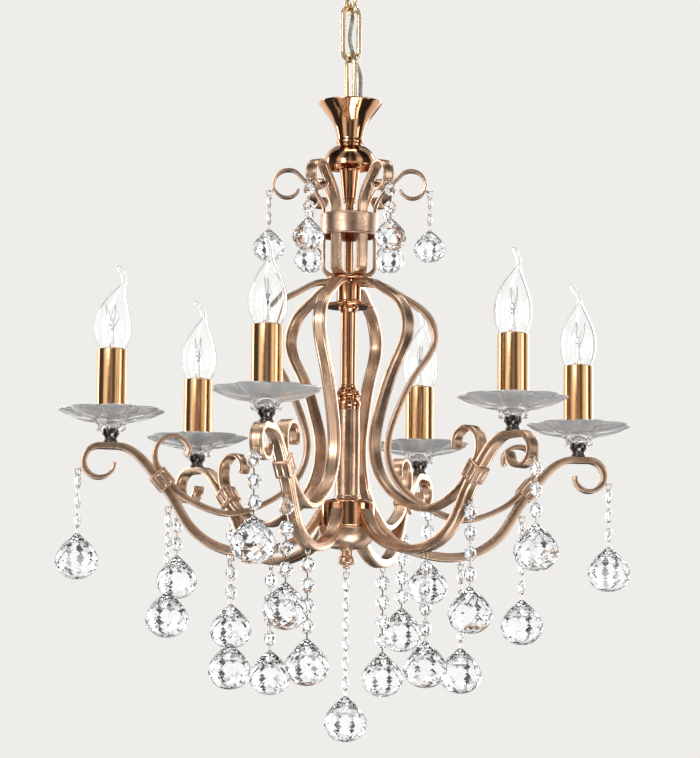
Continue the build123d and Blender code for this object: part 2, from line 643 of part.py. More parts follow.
def arm_clamp():
    hole = (CLAMP_LENGTH + 2, ARM_WIDTH + 2 * CLAMP_SLACK, ARM_THICK + CAGE_THICK + 2 * CLAMP_SLACK)
    outside = (CLAMP_LENGTH, hole[1] + 2 * CLAMP_WALL, hole[2] + 2 * CLAMP_WALL)
    sleeve = Box(*outside) - Box(*hole)
    return Pos(*CLAMP) * Rot(0, -CLAMP_SLOPE, 0) * sleeve


# ---- candles ------------------------------------------------------------------------------
def candle_cup():
    nipple_top = DISH_FLOOR + HOLDER_RISE
    r = CANDLE_CUP_R
    return turned([(0, ARM_TOP), (r - 1.5, ARM_TOP), (r - 2.5, ARM_TOP + 4.0), (r, ARM_TOP + 8.0),
                   (r, DISH_BOTTOM), (CANDLE_NIPPLE_R, DISH_BOTTOM), (CANDLE_NIPPLE_R, nipple_top),
                   (0, nipple_top)], SMALL_FLATS)


def drip_dish():
    bore = clear(CANDLE_NIPPLE_R, SMALL_FLATS)
    rim = DISH_BOTTOM + DISH_HEIGHT
    return turned([(bore, DISH_BOTTOM), (DISH_BOSS_R, DISH_BOTTOM), (DISH_FLOOR_R, DISH_BOTTOM + 7.0),
                   (DISH_R, rim - 1.8), (DISH_R, rim), (33.0, rim - 2.4), (DISH_FLOOR_R, DISH_FLOOR),
                   (bore, DISH_FLOOR)], SMALL_FLATS)


def candle_sleeve():
    bore = SLEEVE_R - SLEEVE_WALL
    return turned([(bore, DISH_FLOOR), (SLEEVE_R, DISH_FLOOR), (SLEEVE_R, SLEEVE_TOP), (bore, SLEEVE_TOP)],
                  MID_FLATS)


def lamp_holder():
    bottom = DISH_FLOOR + HOLDER_RISE
    top = bottom + HOLDER_HEIGHT
    floor = top - SOCKET_DEPTH
    return turned([(0, bottom), (HOLDER_R, bottom), (HOLDER_R, top), (SOCKET_R, top), (SOCKET_R, floor), (0, floor)],
                  HIDDEN_FLATS)


def bulb_cap():
    top = GLASS_BOTTOM
    return turned([(0, top), (CAP_R, top), (CAP_R, top - CAP_HEIGHT + 5.0), (3.0, top - CAP_HEIGHT),
                   (0, top - CAP_HEIGHT)], HIDDEN_FLATS)


def bulb_envelope():
    # share of the height, share of the greatest radius, sideways lean of the bent tip
    shape = [(0.0, 0.54, 0.0), (0.26, 0.95, 0.0), (0.48, 0.96, 0.0), (0.73, 0.54, 0.8), (0.88, 0.20, 3.0),
             (1.0, 0.0, 6.5)]
    outside = [(GLASS_R * r, GLASS_BOTTOM + GLASS_HEIGHT * up, lean) for up, r, lean in shape]
    floor = GLASS_BOTTOM + GLASS_WALL
    inside = [(r - GLASS_WALL, max(z, floor), lean) for r, z, lean in outside[:4]]
    skin = turned([(0, GLASS_BOTTOM), *outside], SMALL_FLATS)
    hollow = turned([(0, floor), *inside, (0, *inside[-1][1:])], SMALL_FLATS)
    return (skin - hollow).solid()


def filament_mount():
    foot = GLASS_BOTTOM + GLASS_WALL
    return turned([(0, foot), (3.2, foot), (0.8, foot + 24.0), (0.8, foot + 44.0), (0, foot + 44.0)],
                  HIDDEN_FLATS)


# ---- crystal strands ----------------------------------------------------------------------
def eye_staple():
    """A fixed eye, hanging from the level surface at z = 0: two legs and the wire that carries a strand."""
    half = EYE_WIDTH / 2
    corners = [(half, 0), (half, -EYE_REACH), (-half, -EYE_REACH), (-half, 0)]
    return Rot(0, 0, 90) * wire(upright(corners), EYE_WIRE / 2, 4, (0, 1, 0))


def hanging_ring():
    """The wire ring that a strand hangs by, about the eye's wire at the origin."""
    top = EYE_WIRE + HANG_GAP
    low = top - RING_HEIGHT
    corners = [(-RING_TOP_WIDTH / 2, top), (RING_TOP_WIDTH / 2, top), (RING_BOTTOM_WIDTH / 2, low),
               (-RING_BOTTOM_WIDTH / 2, low)]
    return wire(upright(corners), EYE_WIRE / 2, 4, (0, 1, 0), closed=True)


def octagon_bead(across, thick):
    """A flat octagonal bead in the YZ plane, cut to a point on each side."""
    rim = ring(across / 2, 0, 8)
    faces = []
    for side in (-1, 1):
        faces += between(rim, [Vector(0, 0, side * thick / 2)])
    return Rot(0, 90, 0) * Solid(Shell(faces))


def pin(length):
    """A three-sided pin on the Z axis, its top at z = 0."""
    return turned([(0, 0), (PIN_THICK / 2, 0), (PIN_THICK / 2, -length), (0, -length)], 3)


def faceted_ball(radius):
    """A cut ball with a drawn-up top, its highest facet at z = 0. Every other row is half a facet round."""
    rows = [ring(share * radius, -drop * BALL_HEIGHT * radius, 8, turn=22.5 * (i % 2))
            for i, (share, drop) in enumerate(BALL_ROWS)]
    faces = [face(rows[0]), *between(rows[-1], [Vector(0, 0, -BALL_HEIGHT * radius)])]
    for i, (one, other) in enumerate(zip(rows, rows[1:])):
        plain, halfway = (one, other) if i % 2 == 0 else (other, one)
        for k in range(8):
            after = (k + 1) % 8
            faces.append(face([plain[k], plain[after], halfway[k]]))
            faces.append(face([halfway[k], halfway[after], plain[after]]))
    return Solid(Shell(faces))


def strand(beads, across, thick, pitch, ball_r):
    """A strand that swings about the Y axis: wire ring, beads, pins between them and a ball."""
    top = EYE_WIRE + HANG_GAP - RING_HEIGHT - EYE_WIRE / 2
    solids = [hanging_ring()]
    for i in range(beads):
        bead_top = top - i * pitch
        solids.append(Pos(0, 0, bead_top - across / 2) * octagon_bead(across, thick))
        solids.append(Pos(0, 0, bead_top - across) * pin(pitch - across))
    solids.append(Pos(0, 0, top - beads * pitch) * faceted_ball(ball_r))
    return solids


def seat(side, facing_sign, fault):
    """The flat of a bar's side that has the least fault, as its middle and the way it faces."""
    flats = []
    for a, b in zip(side, side[1:]):
        run = (b - a).normalized()
        flats.append(((a + b) / 2, Vector(-run.Z, 0, run.X) * facing_sign))
    return min(flats, key=lambda flat: fault(*flat))


def facing_tilt(tilt):
    return lambda point, facing: (facing - direction(tilt)).length


def standing_at(out):
    return lambda point, facing: abs(point.X - out)


def eye_at(point, facing):
    """A fixed eye on a surface, and the middle of the wire on which a strand swings."""
    tilt = atan2(facing.X, -facing.Z)
    return Pos(*point) * Rot(0, -degrees(tilt), 0) * eye_staple(), point + facing * EYE_REACH


LARGE = (BEAD_ACROSS, BEAD_THICK, BEAD_PITCH, BALL_R)
SMALL = (SMALL_BEAD_ACROSS, SMALL_BEAD_THICK, SMALL_BEAD_PITCH, SMALL_BALL_R)
STEM_BOTTOM = FINIAL_BOTTOM - FINIAL_STEM_LENGTH


def strand_families():
    """Each family: name, seat of its eye, turn from the arms, its strand's make-up."""
    arm_left, arm_right = bar_sides(candle_arm_spans())
    scroll_left = bar_sides(upper_scroll_spans())[0]
    return [
        ("end_strand", seat(arm_left, 1, facing_tilt(EYE_TILT)), 0.0, (3, *LARGE)),
        ("outer_strand", seat(arm_right, -1, standing_at(CANDLE_OUT - OUTER_STRAND_IN)), 0.0, (4, *LARGE)),
        ("inner_strand", seat(arm_right, -1, standing_at(INNER_STRAND_OUT)), 0.0, (4, *LARGE)),
        ("top_strand", seat(scroll_left, 1, facing_tilt(EYE_TILT)), SCROLL_TURN, (2, *SMALL)),
    ]


# ---- writing the nodes --------------------------------------------------------------------
def write(name, solids):
    solids = solids if isinstance(solids, list) else [solids]
    export_step(Compound(solids), f"parts/{name}.step")


def write_strands():
    eyes = []
    for name, placed, turn, make_up in strand_families():
        eye, pivot = eye_at(*placed)
        eyes += around(eye, turn=turn)
        print(name, "pivot", round(pivot.X, 4), round(pivot.Z, 4), "turn", turn)
        for i, azimuth in enumerate(arm_azimuths(turn)):
            write(f"{name}_{i + 1}", [place(s, pivot.X, azimuth, pivot.Z) for s in strand(*make_up)])
    eye, pivot = eye_at(Vector(0, 0, STEM_BOTTOM), Vector(0, 0, -1))
    print("centre_strand pivot", round(pivot.Z, 4))
    write("centre_strand", [Pos(*pivot) * s for s in strand(6, *LARGE)])
    write("strand_eyes", [*eyes, eye])


write("ceiling_bracket", ceiling_bracket())
write("canopy", canopy())
write("canopy_nipple", canopy_nipple())
write("canopy_loop", canopy_loop())
write("terminal_block", terminal_block())
write("cord_bush", cord_bush())
write("chain_link_upper", chain_link(UPPER_LINK_TOP, 0))
write("chain_link_lower", chain_link(LOWER_LINK_TOP, 90))
write("supply_cord", supply_cord())

write("top_loop", top_loop())
write("trumpet_cup", trumpet_cup())
write("dome_cap", dome_cap())
write("column_cone", column_cone())
write("centre_tube", centre_tube())
write("spider_plate", spider_plate())
write("scroll_band", scroll_band())
write("upper_hub", upper_hub())
write("centre_rod", centre_rod())
write("mid_knuckle", mid_knuckle())
write("lower_column", lower_column())
write("arm_drum", arm_drum())
write("bottom_cup", bottom_cup())
write("bottom_finial", bottom_finial())

write("upper_scrolls", around(flat_bar(upper_scroll_spans(), SCROLL_WIDTH), turn=SCROLL_TURN))
write("cage_straps", around(flat_bar(cage_strap_spans(), CAGE_WIDTH)))
write("candle_arms", around(flat_bar(candle_arm_spans(), ARM_WIDTH, foot_out=DRUM_R)))
write("arm_clamps", around(arm_clamp()))

write("candle_cups", around(candle_cup(), CANDLE_OUT))
write("drip_dishes", around(drip_dish(), CANDLE_OUT))
write("candle_sleeves", around(candle_sleeve(), CANDLE_OUT))
write("lamp_holders", around(lamp_holder(), CANDLE_OUT))
write("bulb_caps", around(bulb_cap(), CANDLE_OUT))
write("bulb_envelopes", around(bulb_envelope(), CANDLE_OUT))
write("filament_mounts", around(filament_mount(), CANDLE_OUT))

write_strands()
print("lower link hinge", LOOP_WIRE_Z, UPPER_LINK_BOTTOM, LOWER_LINK_BOTTOM)
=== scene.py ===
"""Crystal chandelier with six candle arms: the finished look of every piece.

Shapes are made in millimetres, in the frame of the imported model, and turned to metres as each
mesh is made. Bars, wires and turned pieces take over from solids that were cut with flats.
"""

from math import cos, pi, radians, sin, sqrt

import bmesh
import bpy
import numpy as np
from mathutils import Matrix, Vector


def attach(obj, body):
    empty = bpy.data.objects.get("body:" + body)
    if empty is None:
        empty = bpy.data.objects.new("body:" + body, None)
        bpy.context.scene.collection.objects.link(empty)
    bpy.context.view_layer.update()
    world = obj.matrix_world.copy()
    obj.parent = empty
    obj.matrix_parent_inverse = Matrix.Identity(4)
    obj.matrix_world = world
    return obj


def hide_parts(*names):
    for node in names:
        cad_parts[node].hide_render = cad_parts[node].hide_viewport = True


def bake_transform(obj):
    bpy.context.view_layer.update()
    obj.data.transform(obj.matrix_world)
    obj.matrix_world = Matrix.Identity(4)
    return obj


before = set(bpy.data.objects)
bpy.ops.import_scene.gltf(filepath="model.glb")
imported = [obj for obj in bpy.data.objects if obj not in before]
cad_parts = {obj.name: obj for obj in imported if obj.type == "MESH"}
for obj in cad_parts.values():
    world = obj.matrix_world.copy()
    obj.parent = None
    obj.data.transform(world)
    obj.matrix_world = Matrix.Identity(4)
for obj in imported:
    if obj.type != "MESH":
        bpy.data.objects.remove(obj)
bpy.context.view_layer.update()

MM = 0.001
ARM_COUNT = 6
STEP = 360 / ARM_COUNT  # degrees from one arm to the next

# ---- sizes in millimetres and turns in degrees, as in the model ----------------------------
SCROLL_TURN = -11.3  # of the upper scrolls, from the arms
CHAIN_TURN = 14.0
WIRE_R = 2.5
CORD_R = 2.0
BOLT_SPACING = 70.0
BUSH_OUT = 16.0
CANOPY_R = 55.0
RING_TOP, RING_WIDTH = -40.0, 24.0
LINK_LENGTH, LINK_WIDTH = 57.0, 22.0
UPPER_LINK_TOP, LOWER_LINK_TOP = -53.5, -100.0
TRUMPET_TOP, TRUMPET_FLOOR, TRUMPET_BOTTOM = -146.5, -181.5, -189.5
DOME_BOTTOM = -209.9
CONE_BOTTOM = -243.9
BAND_TOP, BAND_BOTTOM = -255.5, -276.5
HUB_TOP, HUB_BOTTOM = -315.5, -344.3
ROD_BOTTOM = -421.3
KNUCKLE_BOTTOM = -442.3
DRUM_TOP, DRUM_MIDDLE, DRUM_BOTTOM = -526.3, -540.3, -554.3
DRUM_R = 26.3
CUP_BOTTOM = -573.8
FINIAL_BOTTOM = -588.3
STEM_BOTTOM = -591.8
TUBE_BORE_R, TUBE_R = 2.9, 4.25
BORE_R = 4.3  # of what the tube passes through
CANDLE_OUT = 224.7
ARM_TOP = -480.0
DISH_BOTTOM, DISH_FLOOR = -467.0, -455.5
SLEEVE_TOP, SLEEVE_R = -392.5, 14.0
GLASS_BOTTOM, GLASS_HEIGHT, GLASS_R = -395.5, 82.0, 17.5
SCROLL_WIDTH, BAR_WIDTH = 11.0, 12.0
CLAMP = (175.8, -513.3)
CLAMP_SLOPE = 50.0
CLAMP_LENGTH = 18.0

# ---- fineness ------------------------------------------------------------------------------
WIDE, TURNED, SMALL_TURNED = 96, 72, 40  # sides of turned pieces
SHARP_EDGE = 38.0  # degrees between faces that don't shade as one
WELD = 1e-6  # metres
CORNER_SHARE = 0.45  # the most that a rounded corner takes of a run beside it
LEAST_CORNER = 0.02


# ---- small helpers -------------------------------------------------------------------------
def turn_z(angle):
    return Matrix.Rotation(radians(angle), 4, "Z")


def at(x=0.0, y=0.0, z=0.0):
    return Matrix.Translation((x, y, z))


def arm_places(out=0.0, up=0.0, turn=0.0):
    return [turn_z(turn + STEP * i) @ at(out, 0, up) for i in range(ARM_COUNT)]


def direction(angle):
    """A step of one along an angle above level, as (across, up)."""
    return np.array((cos(radians(angle)), sin(radians(angle))))


def smooth_line(points, start=None, end=None, step=2.0):
    """A smooth line through points, its ends along start and end where they are given."""
    p = np.array(points, float)
    runs = np.linalg.norm(np.diff(p, axis=0), axis=1)
    n = len(p)
    system, wanted = np.zeros((n, n)), np.zeros_like(p)
    for i in range(1, n - 1):
        before, after = runs[i - 1], runs[i]
        system[i, i - 1:i + 2] = after, 2 * (before + after), before
        wanted[i] = 3 * (after * (p[i] - p[i - 1]) / before + before * (p[i + 1] - p[i]) / after)
    for i, way, beside in ((0, start, 1), (n - 1, end, n - 2)):
        if way is None:
            first = min(i, beside)
            system[i, i], system[i, beside] = 2, 1
            wanted[i] = 3 * (p[first + 1] - p[first]) / runs[first]
        else:
            system[i, i], wanted[i] = 1, way
    slopes = np.linalg.solve(system, wanted)
    made = [p[0]]
    for i, run in enumerate(runs):
        count = max(2, round(run / step))
        for t in np.arange(1, count + 1) / count:
            made.append((2 * t**3 - 3 * t**2 + 1) * p[i] + (t**3 - 2 * t**2 + t) * run * slopes[i]
                        + (3 * t**2 - 2 * t**3) * p[i + 1] + (t**3 - t**2) * run * slopes[i + 1])
    return made


def straight(*points, step=3.0):
    """Points along straight runs."""
    made = [np.array(points[0], float)]
    for a, b in zip(points, points[1:]):
        a, b = np.array(a, float), np.array(b, float)
        count = max(1, round(np.linalg.norm(b - a) / step))
        made += [a + (b - a) * i / count for i in range(1, count + 1)]
    return made


def curl(middle, radius, start, end, step, shrink):
    """Points of an arc from one angle to another, its radius shrinking by so much on the way."""
    count = round(abs(end - start) / step)
    return [np.array(middle) + direction(start + (end - start) * i / count)
            * (radius - shrink * i / count) for i in range(count + 1)]


def soften(points, radius, closed=True, steps=4):
    """The line with each corner rounded; a corner may give its own radius as a third value."""
    rounded = []
    for i, point in enumerate(points):
        here = np.array(point[:2], float)
        before = np.array(points[i - 1][:2], float) - here
        after = np.array(points[(i + 1) % len(points)][:2], float) - here
        back, on = np.linalg.norm(before), np.linalg.norm(after)
        cut = point[2] if len(point) > 2 else radius
        cut = min(cut, CORNER_SHARE * back, CORNER_SHARE * on)
        at_end = not closed and i in (0, len(points) - 1)
        if at_end or cut < LEAST_CORNER or here[0] == 0:
            rounded.append(here)
            continue
        a, b = here + before / back * cut, here + after / on * cut
        for t in np.arange(steps + 1) / steps:
            rounded.append((1 - t)**2 * a + 2 * t * (1 - t) * here + t * t * b)
    return rounded


# ---- shapes: (corners, faces, lay), lay being each face corner's place on the surface in metres
def skin(rings, closed=False):
    """A surface through rings with as many corners each, capped where it isn't closed."""
    rings = np.array(rings, float)
    n, k = rings.shape[:2]
    around = np.linalg.norm(np.roll(rings, -1, axis=1) - rings, axis=2)
    widest = around[around.sum(axis=1).argmax()]
    u = np.concatenate(([0.0], np.cumsum(widest))) * MM
    steps = np.linalg.norm(np.roll(rings, -1, axis=0) - rings, axis=2).mean(axis=1)
    v = np.concatenate(([0.0], np.cumsum(steps))) * MM
    faces, lay = [], []
    for i in range(n if closed else n - 1):
        after = (i + 1) % n
        for j in range(k):
            beside = (j + 1) % k
            faces.append((i * k + j, i * k + beside, after * k + beside, after * k + j))
            lay += [(u[j], v[i]), (u[j + 1], v[i]), (u[j + 1], v[i + 1]), (u[j], v[i + 1])]
    if not closed:
        faces.append(tuple(range(k))[::-1])
        faces.append(tuple(range((n - 1) * k, n * k)))
        lay += [(0.0, 0.0)] * (2 * k)
    return rings.reshape(-1, 3), faces, lay


def lathe(outline, sides=TURNED, soft=0.4):
    """A turned shape from a closed outline of (radius, z) corners."""
    angles = np.arange(sides) * 2 * pi / sides
    return skin([[(r * cos(a), r * sin(a), z) for a in angles]
                 for r, z in soften(outline, soft)], closed=True)


def sweep(path, sections, across, closed=False):
    """Sections of (side, across) corners carried along a path; one section serves all of it."""
    path = np.array(path, float)
    runs = np.roll(path, -1, axis=0) - np.roll(path, 1, axis=0)
    if not closed:
        runs[0], runs[-1] = path[1] - path[0], path[-1] - path[-2]
    across = np.array(across, float)
    rings = []
    for i, (point, run) in enumerate(zip(path, runs)):
        run = run / np.linalg.norm(run)
        across = across - run * across.dot(run)
        across /= np.linalg.norm(across)
        side = np.cross(across, run)
        section = sections[i] if len(sections) == len(path) else sections[0]
        rings.append([point + side * s + across * a for s, a in section])
    return skin(rings, closed)


def wire(path, radius, sides, across=(0, 1, 0), closed=False):
    angles = np.arange(sides) * 2 * pi / sides
    return sweep(path, [[(radius * cos(a), radius * sin(a)) for a in angles]], across, closed)


def bent_wire(corners, corner_r, radius, sides=10, steps=4):
    """A closed wire with rounded corners in the XZ plane."""
    path = soften(corners, corner_r, steps=steps)
    return wire([(x, 0, z) for x, z in path], radius, sides, closed=True)


def moved(shape, matrix):
    corners, faces, lay = shape
    m = np.array(matrix)
    return np.asarray(corners) @ m[:3, :3].T + m[:3, 3], faces, lay


def joined(shapes):
    corners, faces, lay = [], [], []
    for some, these, there in shapes:
        faces += [tuple(i + len(corners) for i in f) for f in these]
        corners += list(some)
        lay += there
    return corners, faces, lay


def facets(corners, faces):
    """Flat faces that need no lay."""
    return corners, faces, [(0.0, 0.0)] * sum(len(f) for f in faces)


# ---- pieces --------------------------------------------------------------------------------
def make_mesh(name, shape, finish, smooth=True):
    corners, faces, lay = shape
    mesh = bpy.data.meshes.new(name)
    mesh.from_pydata([Vector(c) * MM for c in corners], [], faces)
    mesh.uv_layers.new(name="Lay").data.foreach_set("uv", np.array(lay, float).ravel())
    shaped = bmesh.new()
    shaped.from_mesh(mesh)
    bmesh.ops.remove_doubles(shaped, verts=shaped.verts, dist=WELD)
    bmesh.ops.recalc_face_normals(shaped, faces=shaped.faces)
    shaped.to_mesh(mesh)
    shaped.free()
    if smooth:
        mesh.shade_smooth()
        mesh.set_sharp_from_angle(angle=radians(SHARP_EDGE))
    mesh.materials.append(finish)
    return mesh


def new_object(name, content):
    made = bpy.data.objects.new(name, content)
    bpy.context.scene.collection.objects.link(made)
    return made


def pieces(names, shape, finish, places, bodies, nodes, smooth=True):
    """One piece at each place, each riding on its body and standing for its node, if any."""
    mesh = make_mesh(names[0], shape, finish, smooth)
    for name, place, body, node in zip(names, places, bodies, nodes):
        own = mesh.copy()
        own.transform(Matrix.Scale(MM, 4) @ place @ Matrix.Scale(1 / MM, 4))
        made = new_object(name, own)
        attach(made, body)
        if node:
            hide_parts(node)
    bpy.data.meshes.remove(mesh)


def piece(name, shape, finish, node=None, body="fixture", place=Matrix()):
    pieces([name], shape, finish, [place], [body], [node])


def six(name, shape, finish, node=None, out=0.0, turn=0.0):
    """One piece for each arm."""
    names = [f"{name}_{i + 1}" for i in range(ARM_COUNT)]
    places = arm_places(out, 0.0, turn)
    pieces(names, shape, finish, places, ["fixture"] * ARM_COUNT, [node] * ARM_COUNT)


# ---- materials -----------------------------------------------------------------------------
def linear(hex_colour):
    """A screen colour such as #B5774F as the linear numbers that shaders take."""
    values = [int(hex_colour[i:i + 2], 16) / 255 for i in (1, 3, 5)]
    return (*[v / 12.92 if v <= 0.04045 else ((v + 0.055) / 1.055) ** 2.4 for v in values], 1.0)


def feed(node, inputs):
    """Sets a node's inputs, named or in their order.

    Each takes a number, a colour, another node's output, or the node for its first one in use.
    """
    for name, value in inputs.items() if isinstance(inputs, dict) else enumerate(inputs):
        if isinstance(value, bpy.types.Node):
            value = next(output for output in value.outputs if output.enabled)
        if isinstance(value, bpy.types.NodeSocket):
            node.id_data.links.new(value, node.inputs[name])
        else:
            node.inputs[name].default_value = value


def add(tree, kind, inputs=(), stops=(), **settings):
    """Adds a shader node with its settings and inputs, and the stops of a ramp."""
    new = tree.nodes.new(kind)
    for name, value in settings.items():
        setattr(new, name, value)
    feed(new, inputs)
    if stops:
        while len(new.color_ramp.elements) < len(stops):
            new.color_ramp.elements.new(0.5)
        for stop, (where, colour) in zip(new.color_ramp.elements, stops):
            stop.position, stop.color = where, colour
    return new


def material(name):
    made = bpy.data.materials.new(name)
    made.use_nodes = True
    return made, made.node_tree, made.node_tree.nodes["Principled BSDF"]


def pattern(tree, coordinates, scale, stretch=(1, 1, 1), detail=3.0, rough=0.55):
    """Fine noise; scale is in repeats to the metre, stretch in shares of it along each axis."""
    mapped = add(tree, "ShaderNodeMapping",
                 {"Vector": coordinates, "Scale": [scale * s for s in stretch]})
    return add(tree, "ShaderNodeTexNoise",
               {"Vector": mapped, "Scale": 1.0, "Detail": detail, "Roughness": rough})


# Map Range takes a value, the range that it comes from and the one that it goes to. A colour Mix
# takes its share as input 0 and its two colours as inputs 6 and 7.
def metal(name, light, dark, rough, brush, depth, patina=0.25, tarnish="#4A2A18"):
    """Brushed or polished metal: lines along the lay, slow changes of tone, a little tarnish.

    The brush is in repeats to the metre, around a piece and along it. Real lines are 0.1 mm
    apart or closer, which can't show where a pixel is 1 mm, so these are 0.5 mm and more.
    Clouds of tarnish are 26 mm across and its specks 4 mm.
    """
    made, tree, shader = material(name)
    place = add(tree, "ShaderNodeTexCoord").outputs
    lines = pattern(tree, place["UV"], 1.0, (*brush, 1), detail=2.0)
    cloud = pattern(tree, place["Object"], 38.0, detail=4.0, rough=0.6)
    specks = pattern(tree, place["Object"], 260.0, detail=2.0)
    streaks = add(tree, "ShaderNodeMapRange", [lines, 0.25, 0.75, 0.0, 1.0])
    tone = add(tree, "ShaderNodeMix", {0: streaks, 6: linear(light), 7: linear(dark)},
               data_type="RGBA")
    share = add(tree, "ShaderNodeMapRange", [cloud, 0.45, 0.75, 0.0, patina])
    aged = add(tree, "ShaderNodeMix", {0: share, 6: tone, 7: linear(tarnish)}, data_type="RGBA")
    brushed = add(tree, "ShaderNodeMapRange", [lines, 0.3, 0.7, rough * 0.75, rough * 1.3])
    dulled = add(tree, "ShaderNodeMapRange", [specks, 0.5, 0.8, 0.0, 0.05])
    worn = add(tree, "ShaderNodeMath", [brushed, dulled], operation="ADD")
    bump = add(tree, "ShaderNodeBump", {"Strength": 0.6, "Distance": depth * MM, "Height": lines})
    feed(shader, {"Base Color": aged, "Roughness": worn, "Normal": bump, "Metallic": 1.0})
    return made


def glass(name, clear, tint, ior, ripple, grain=90.0, through=1.0):
    """Clear glass: a breath of tint that comes and goes, and a surface that isn't quite flat.

    The grain is in waves to the metre: 11 mm across in cut glass, 8 in pressed, 17 in blown.
    """
    made, tree, shader = material(name)
    place = add(tree, "ShaderNodeTexCoord").outputs["Object"]
    waves = pattern(tree, place, grain, detail=2.0)
    cloud = pattern(tree, place, grain * 0.4, detail=1.0)
    share = add(tree, "ShaderNodeMapRange", [cloud, 0.3, 0.7, 0.0, 1.0])
    colour = add(tree, "ShaderNodeMix", {0: share, 6: linear(clear), 7: linear(tint)},
                 data_type="RGBA")
    smeared = add(tree, "ShaderNodeMapRange", [waves, 0.4, 0.9, 0.0, 0.03])
    bump = add(tree, "ShaderNodeBump", {"Strength": 0.5, "Distance": ripple * MM, "Height": waves})
    feed(shader, {"Base Color": colour, "Roughness": smeared, "Normal": bump,
                  "Transmission Weight": through, "IOR": ior})
    return made


def moulded(name, light, dark, rough, grain=900.0, depth=0.02):
    """Moulded plastic: a fine orange-peel surface and faint flow marks.

    The peel is drawn 1 to 2 mm across, coarser than a real one, so that it shows at all. Flow
    marks are 17 mm wide and 4 mm high.
    """
    made, tree, shader = material(name)
    place = add(tree, "ShaderNodeTexCoord").outputs["Object"]
    peel = pattern(tree, place, grain)
    flow = pattern(tree, place, 60.0, (1, 1, 4), detail=2.0)
    share = add(tree, "ShaderNodeMapRange", [flow, 0.3, 0.7, 0.0, 1.0])
    colour = add(tree, "ShaderNodeMix", {0: share, 6: linear(light), 7: linear(dark)},
                 data_type="RGBA")
    grained = add(tree, "ShaderNodeMapRange", [peel, 0.3, 0.7, rough * 0.8, rough * 1.2])
    bump = add(tree, "ShaderNodeBump", {"Strength": 0.5, "Distance": depth * MM, "Height": peel})
    feed(shader, {"Base Color": colour, "Roughness": grained, "Normal": bump})
    return made


# polished rose-gold plate on brass: bright cream highlights beside deep brown reflections
ROSE_PLATE = metal("rose_gold_plated_brass_polished", "#E6B48E", "#C58A63", 0.095, (40, 1800),
                   0.002)
# the same plate on bent bars and the column, brushed along their length: tan with darker streaks
BAR_PLATE = metal("rose_gold_plated_steel_brushed", "#F5D6BB", "#C49A7A", 0.29, (1500, 26), 0.012,
                  patina=0.6)
# castings, tumbled rather than brushed: clamps, band, bottom cup and finial, pinker and softer
CLAMP_CAST = metal("rose_gold_cast_satin", "#E8C9B1", "#C9A286", 0.33, (320, 320), 0.03,
                   patina=0.35)
# drawn candle tubes, lacquered gold, their grain running upright
SLEEVE_GOLD = metal("lacquered_gold_tube_drawn", "#F4CB9C", "#DCA06A", 0.18, (1900, 30), 0.005,
                    patina=0.12, tarnish="#7A4320")
# chain wire, paler and creamier than the body
CHAIN_WIRE = metal("champagne_gold_wire_polished", "#F3E1C3", "#D9BF96", 0.24, (60, 1200), 0.004,
                   patina=0.2, tarnish="#5A4226")
# dark stem cups under the dishes, close to black nickel; on the screw slots the same dark finish is
# painted shade
DARK_NICKEL_AND_SLOT_SHADE = metal("black_nickel_and_painted_slot_shade", "#77706B", "#3E3936", 0.16, (40, 1500), 0.003,
                    patina=0.4, tarnish="#1C1817")
# nickel wire of the eyes, rings and pins
PIN_WIRE = metal("nickel_wire_drawn", "#E9E2D6", "#BDB2A2", 0.16, (60, 1600), 0.003,
                 patina=0.15, tarnish="#5E5142")
# zinc-plated steel of the hidden bracket and threads
ZINC = metal("zinc_plated_steel", "#C9CCD0", "#9BA0A6", 0.34, (300, 300), 0.01,
             patina=0.4, tarnish="#6B6E66")
# brass of the lamp caps
CAP_BRASS = metal("lamp_cap_brass", "#E2C27E", "#B8934E", 0.24, (50, 1500), 0.004, patina=0.3)
# tungsten and its dull support wires
TUNGSTEN = metal("tungsten_drawn", "#8C8A86", "#5C5A57", 0.35, (200, 200), 0.002)
# lead crystal, cut and polished: high refraction, sharp facet edges
CRYSTAL = glass("lead_crystal_cut", "#FFFFFF", "#F6F9FC", 1.58, 0.004)
# pressed glass of the dishes: wavier than the cut drops, and a little milky
PRESSED = glass("pressed_glass_dish", "#FFFFFF", "#FAFCFC", 1.38, 0.03, grain=120.0, through=0.87)
# thin blown bulb glass
BLOWN = glass("blown_bulb_glass", "#FFFFFF", "#FAFBFA", 1.47, 0.01, grain=60.0)
# moulded terminal block, cord bush and lamp holders
BLOCK = moulded("terminal_block_polyamide", "#E9E7E0", "#D9D6CC", 0.42)
BUSH = moulded("cord_bush_nylon", "#F3F1EB", "#E2DFD6", 0.35)
HOLDER = moulded("lamp_holder_bakelite", "#EFE9DC", "#DCD3C1", 0.38)
# cord in a smoky clear jacket, which reads as silver grey
CORD = moulded("cord_jacket_silver", "#DDD8D0", "#A99F93", 0.24, grain=500.0, depth=0.01)


# ---- camera --------------------------------------------------------------------------------
CAMERA_AZIMUTH, CAMERA_ELEVATION, CAMERA_ROLL = -11.3, -7.5, 0.5
CAMERA_DISTANCE = 3500.0
AIM = Vector((0, 0, -412.5))
SENSOR = 36.0
PHOTO_HEIGHT = 758  # pixels
VIEW_HEIGHT = 716.0  # of what the photo shows, at the column
SHIFT = 2.0  # pixels


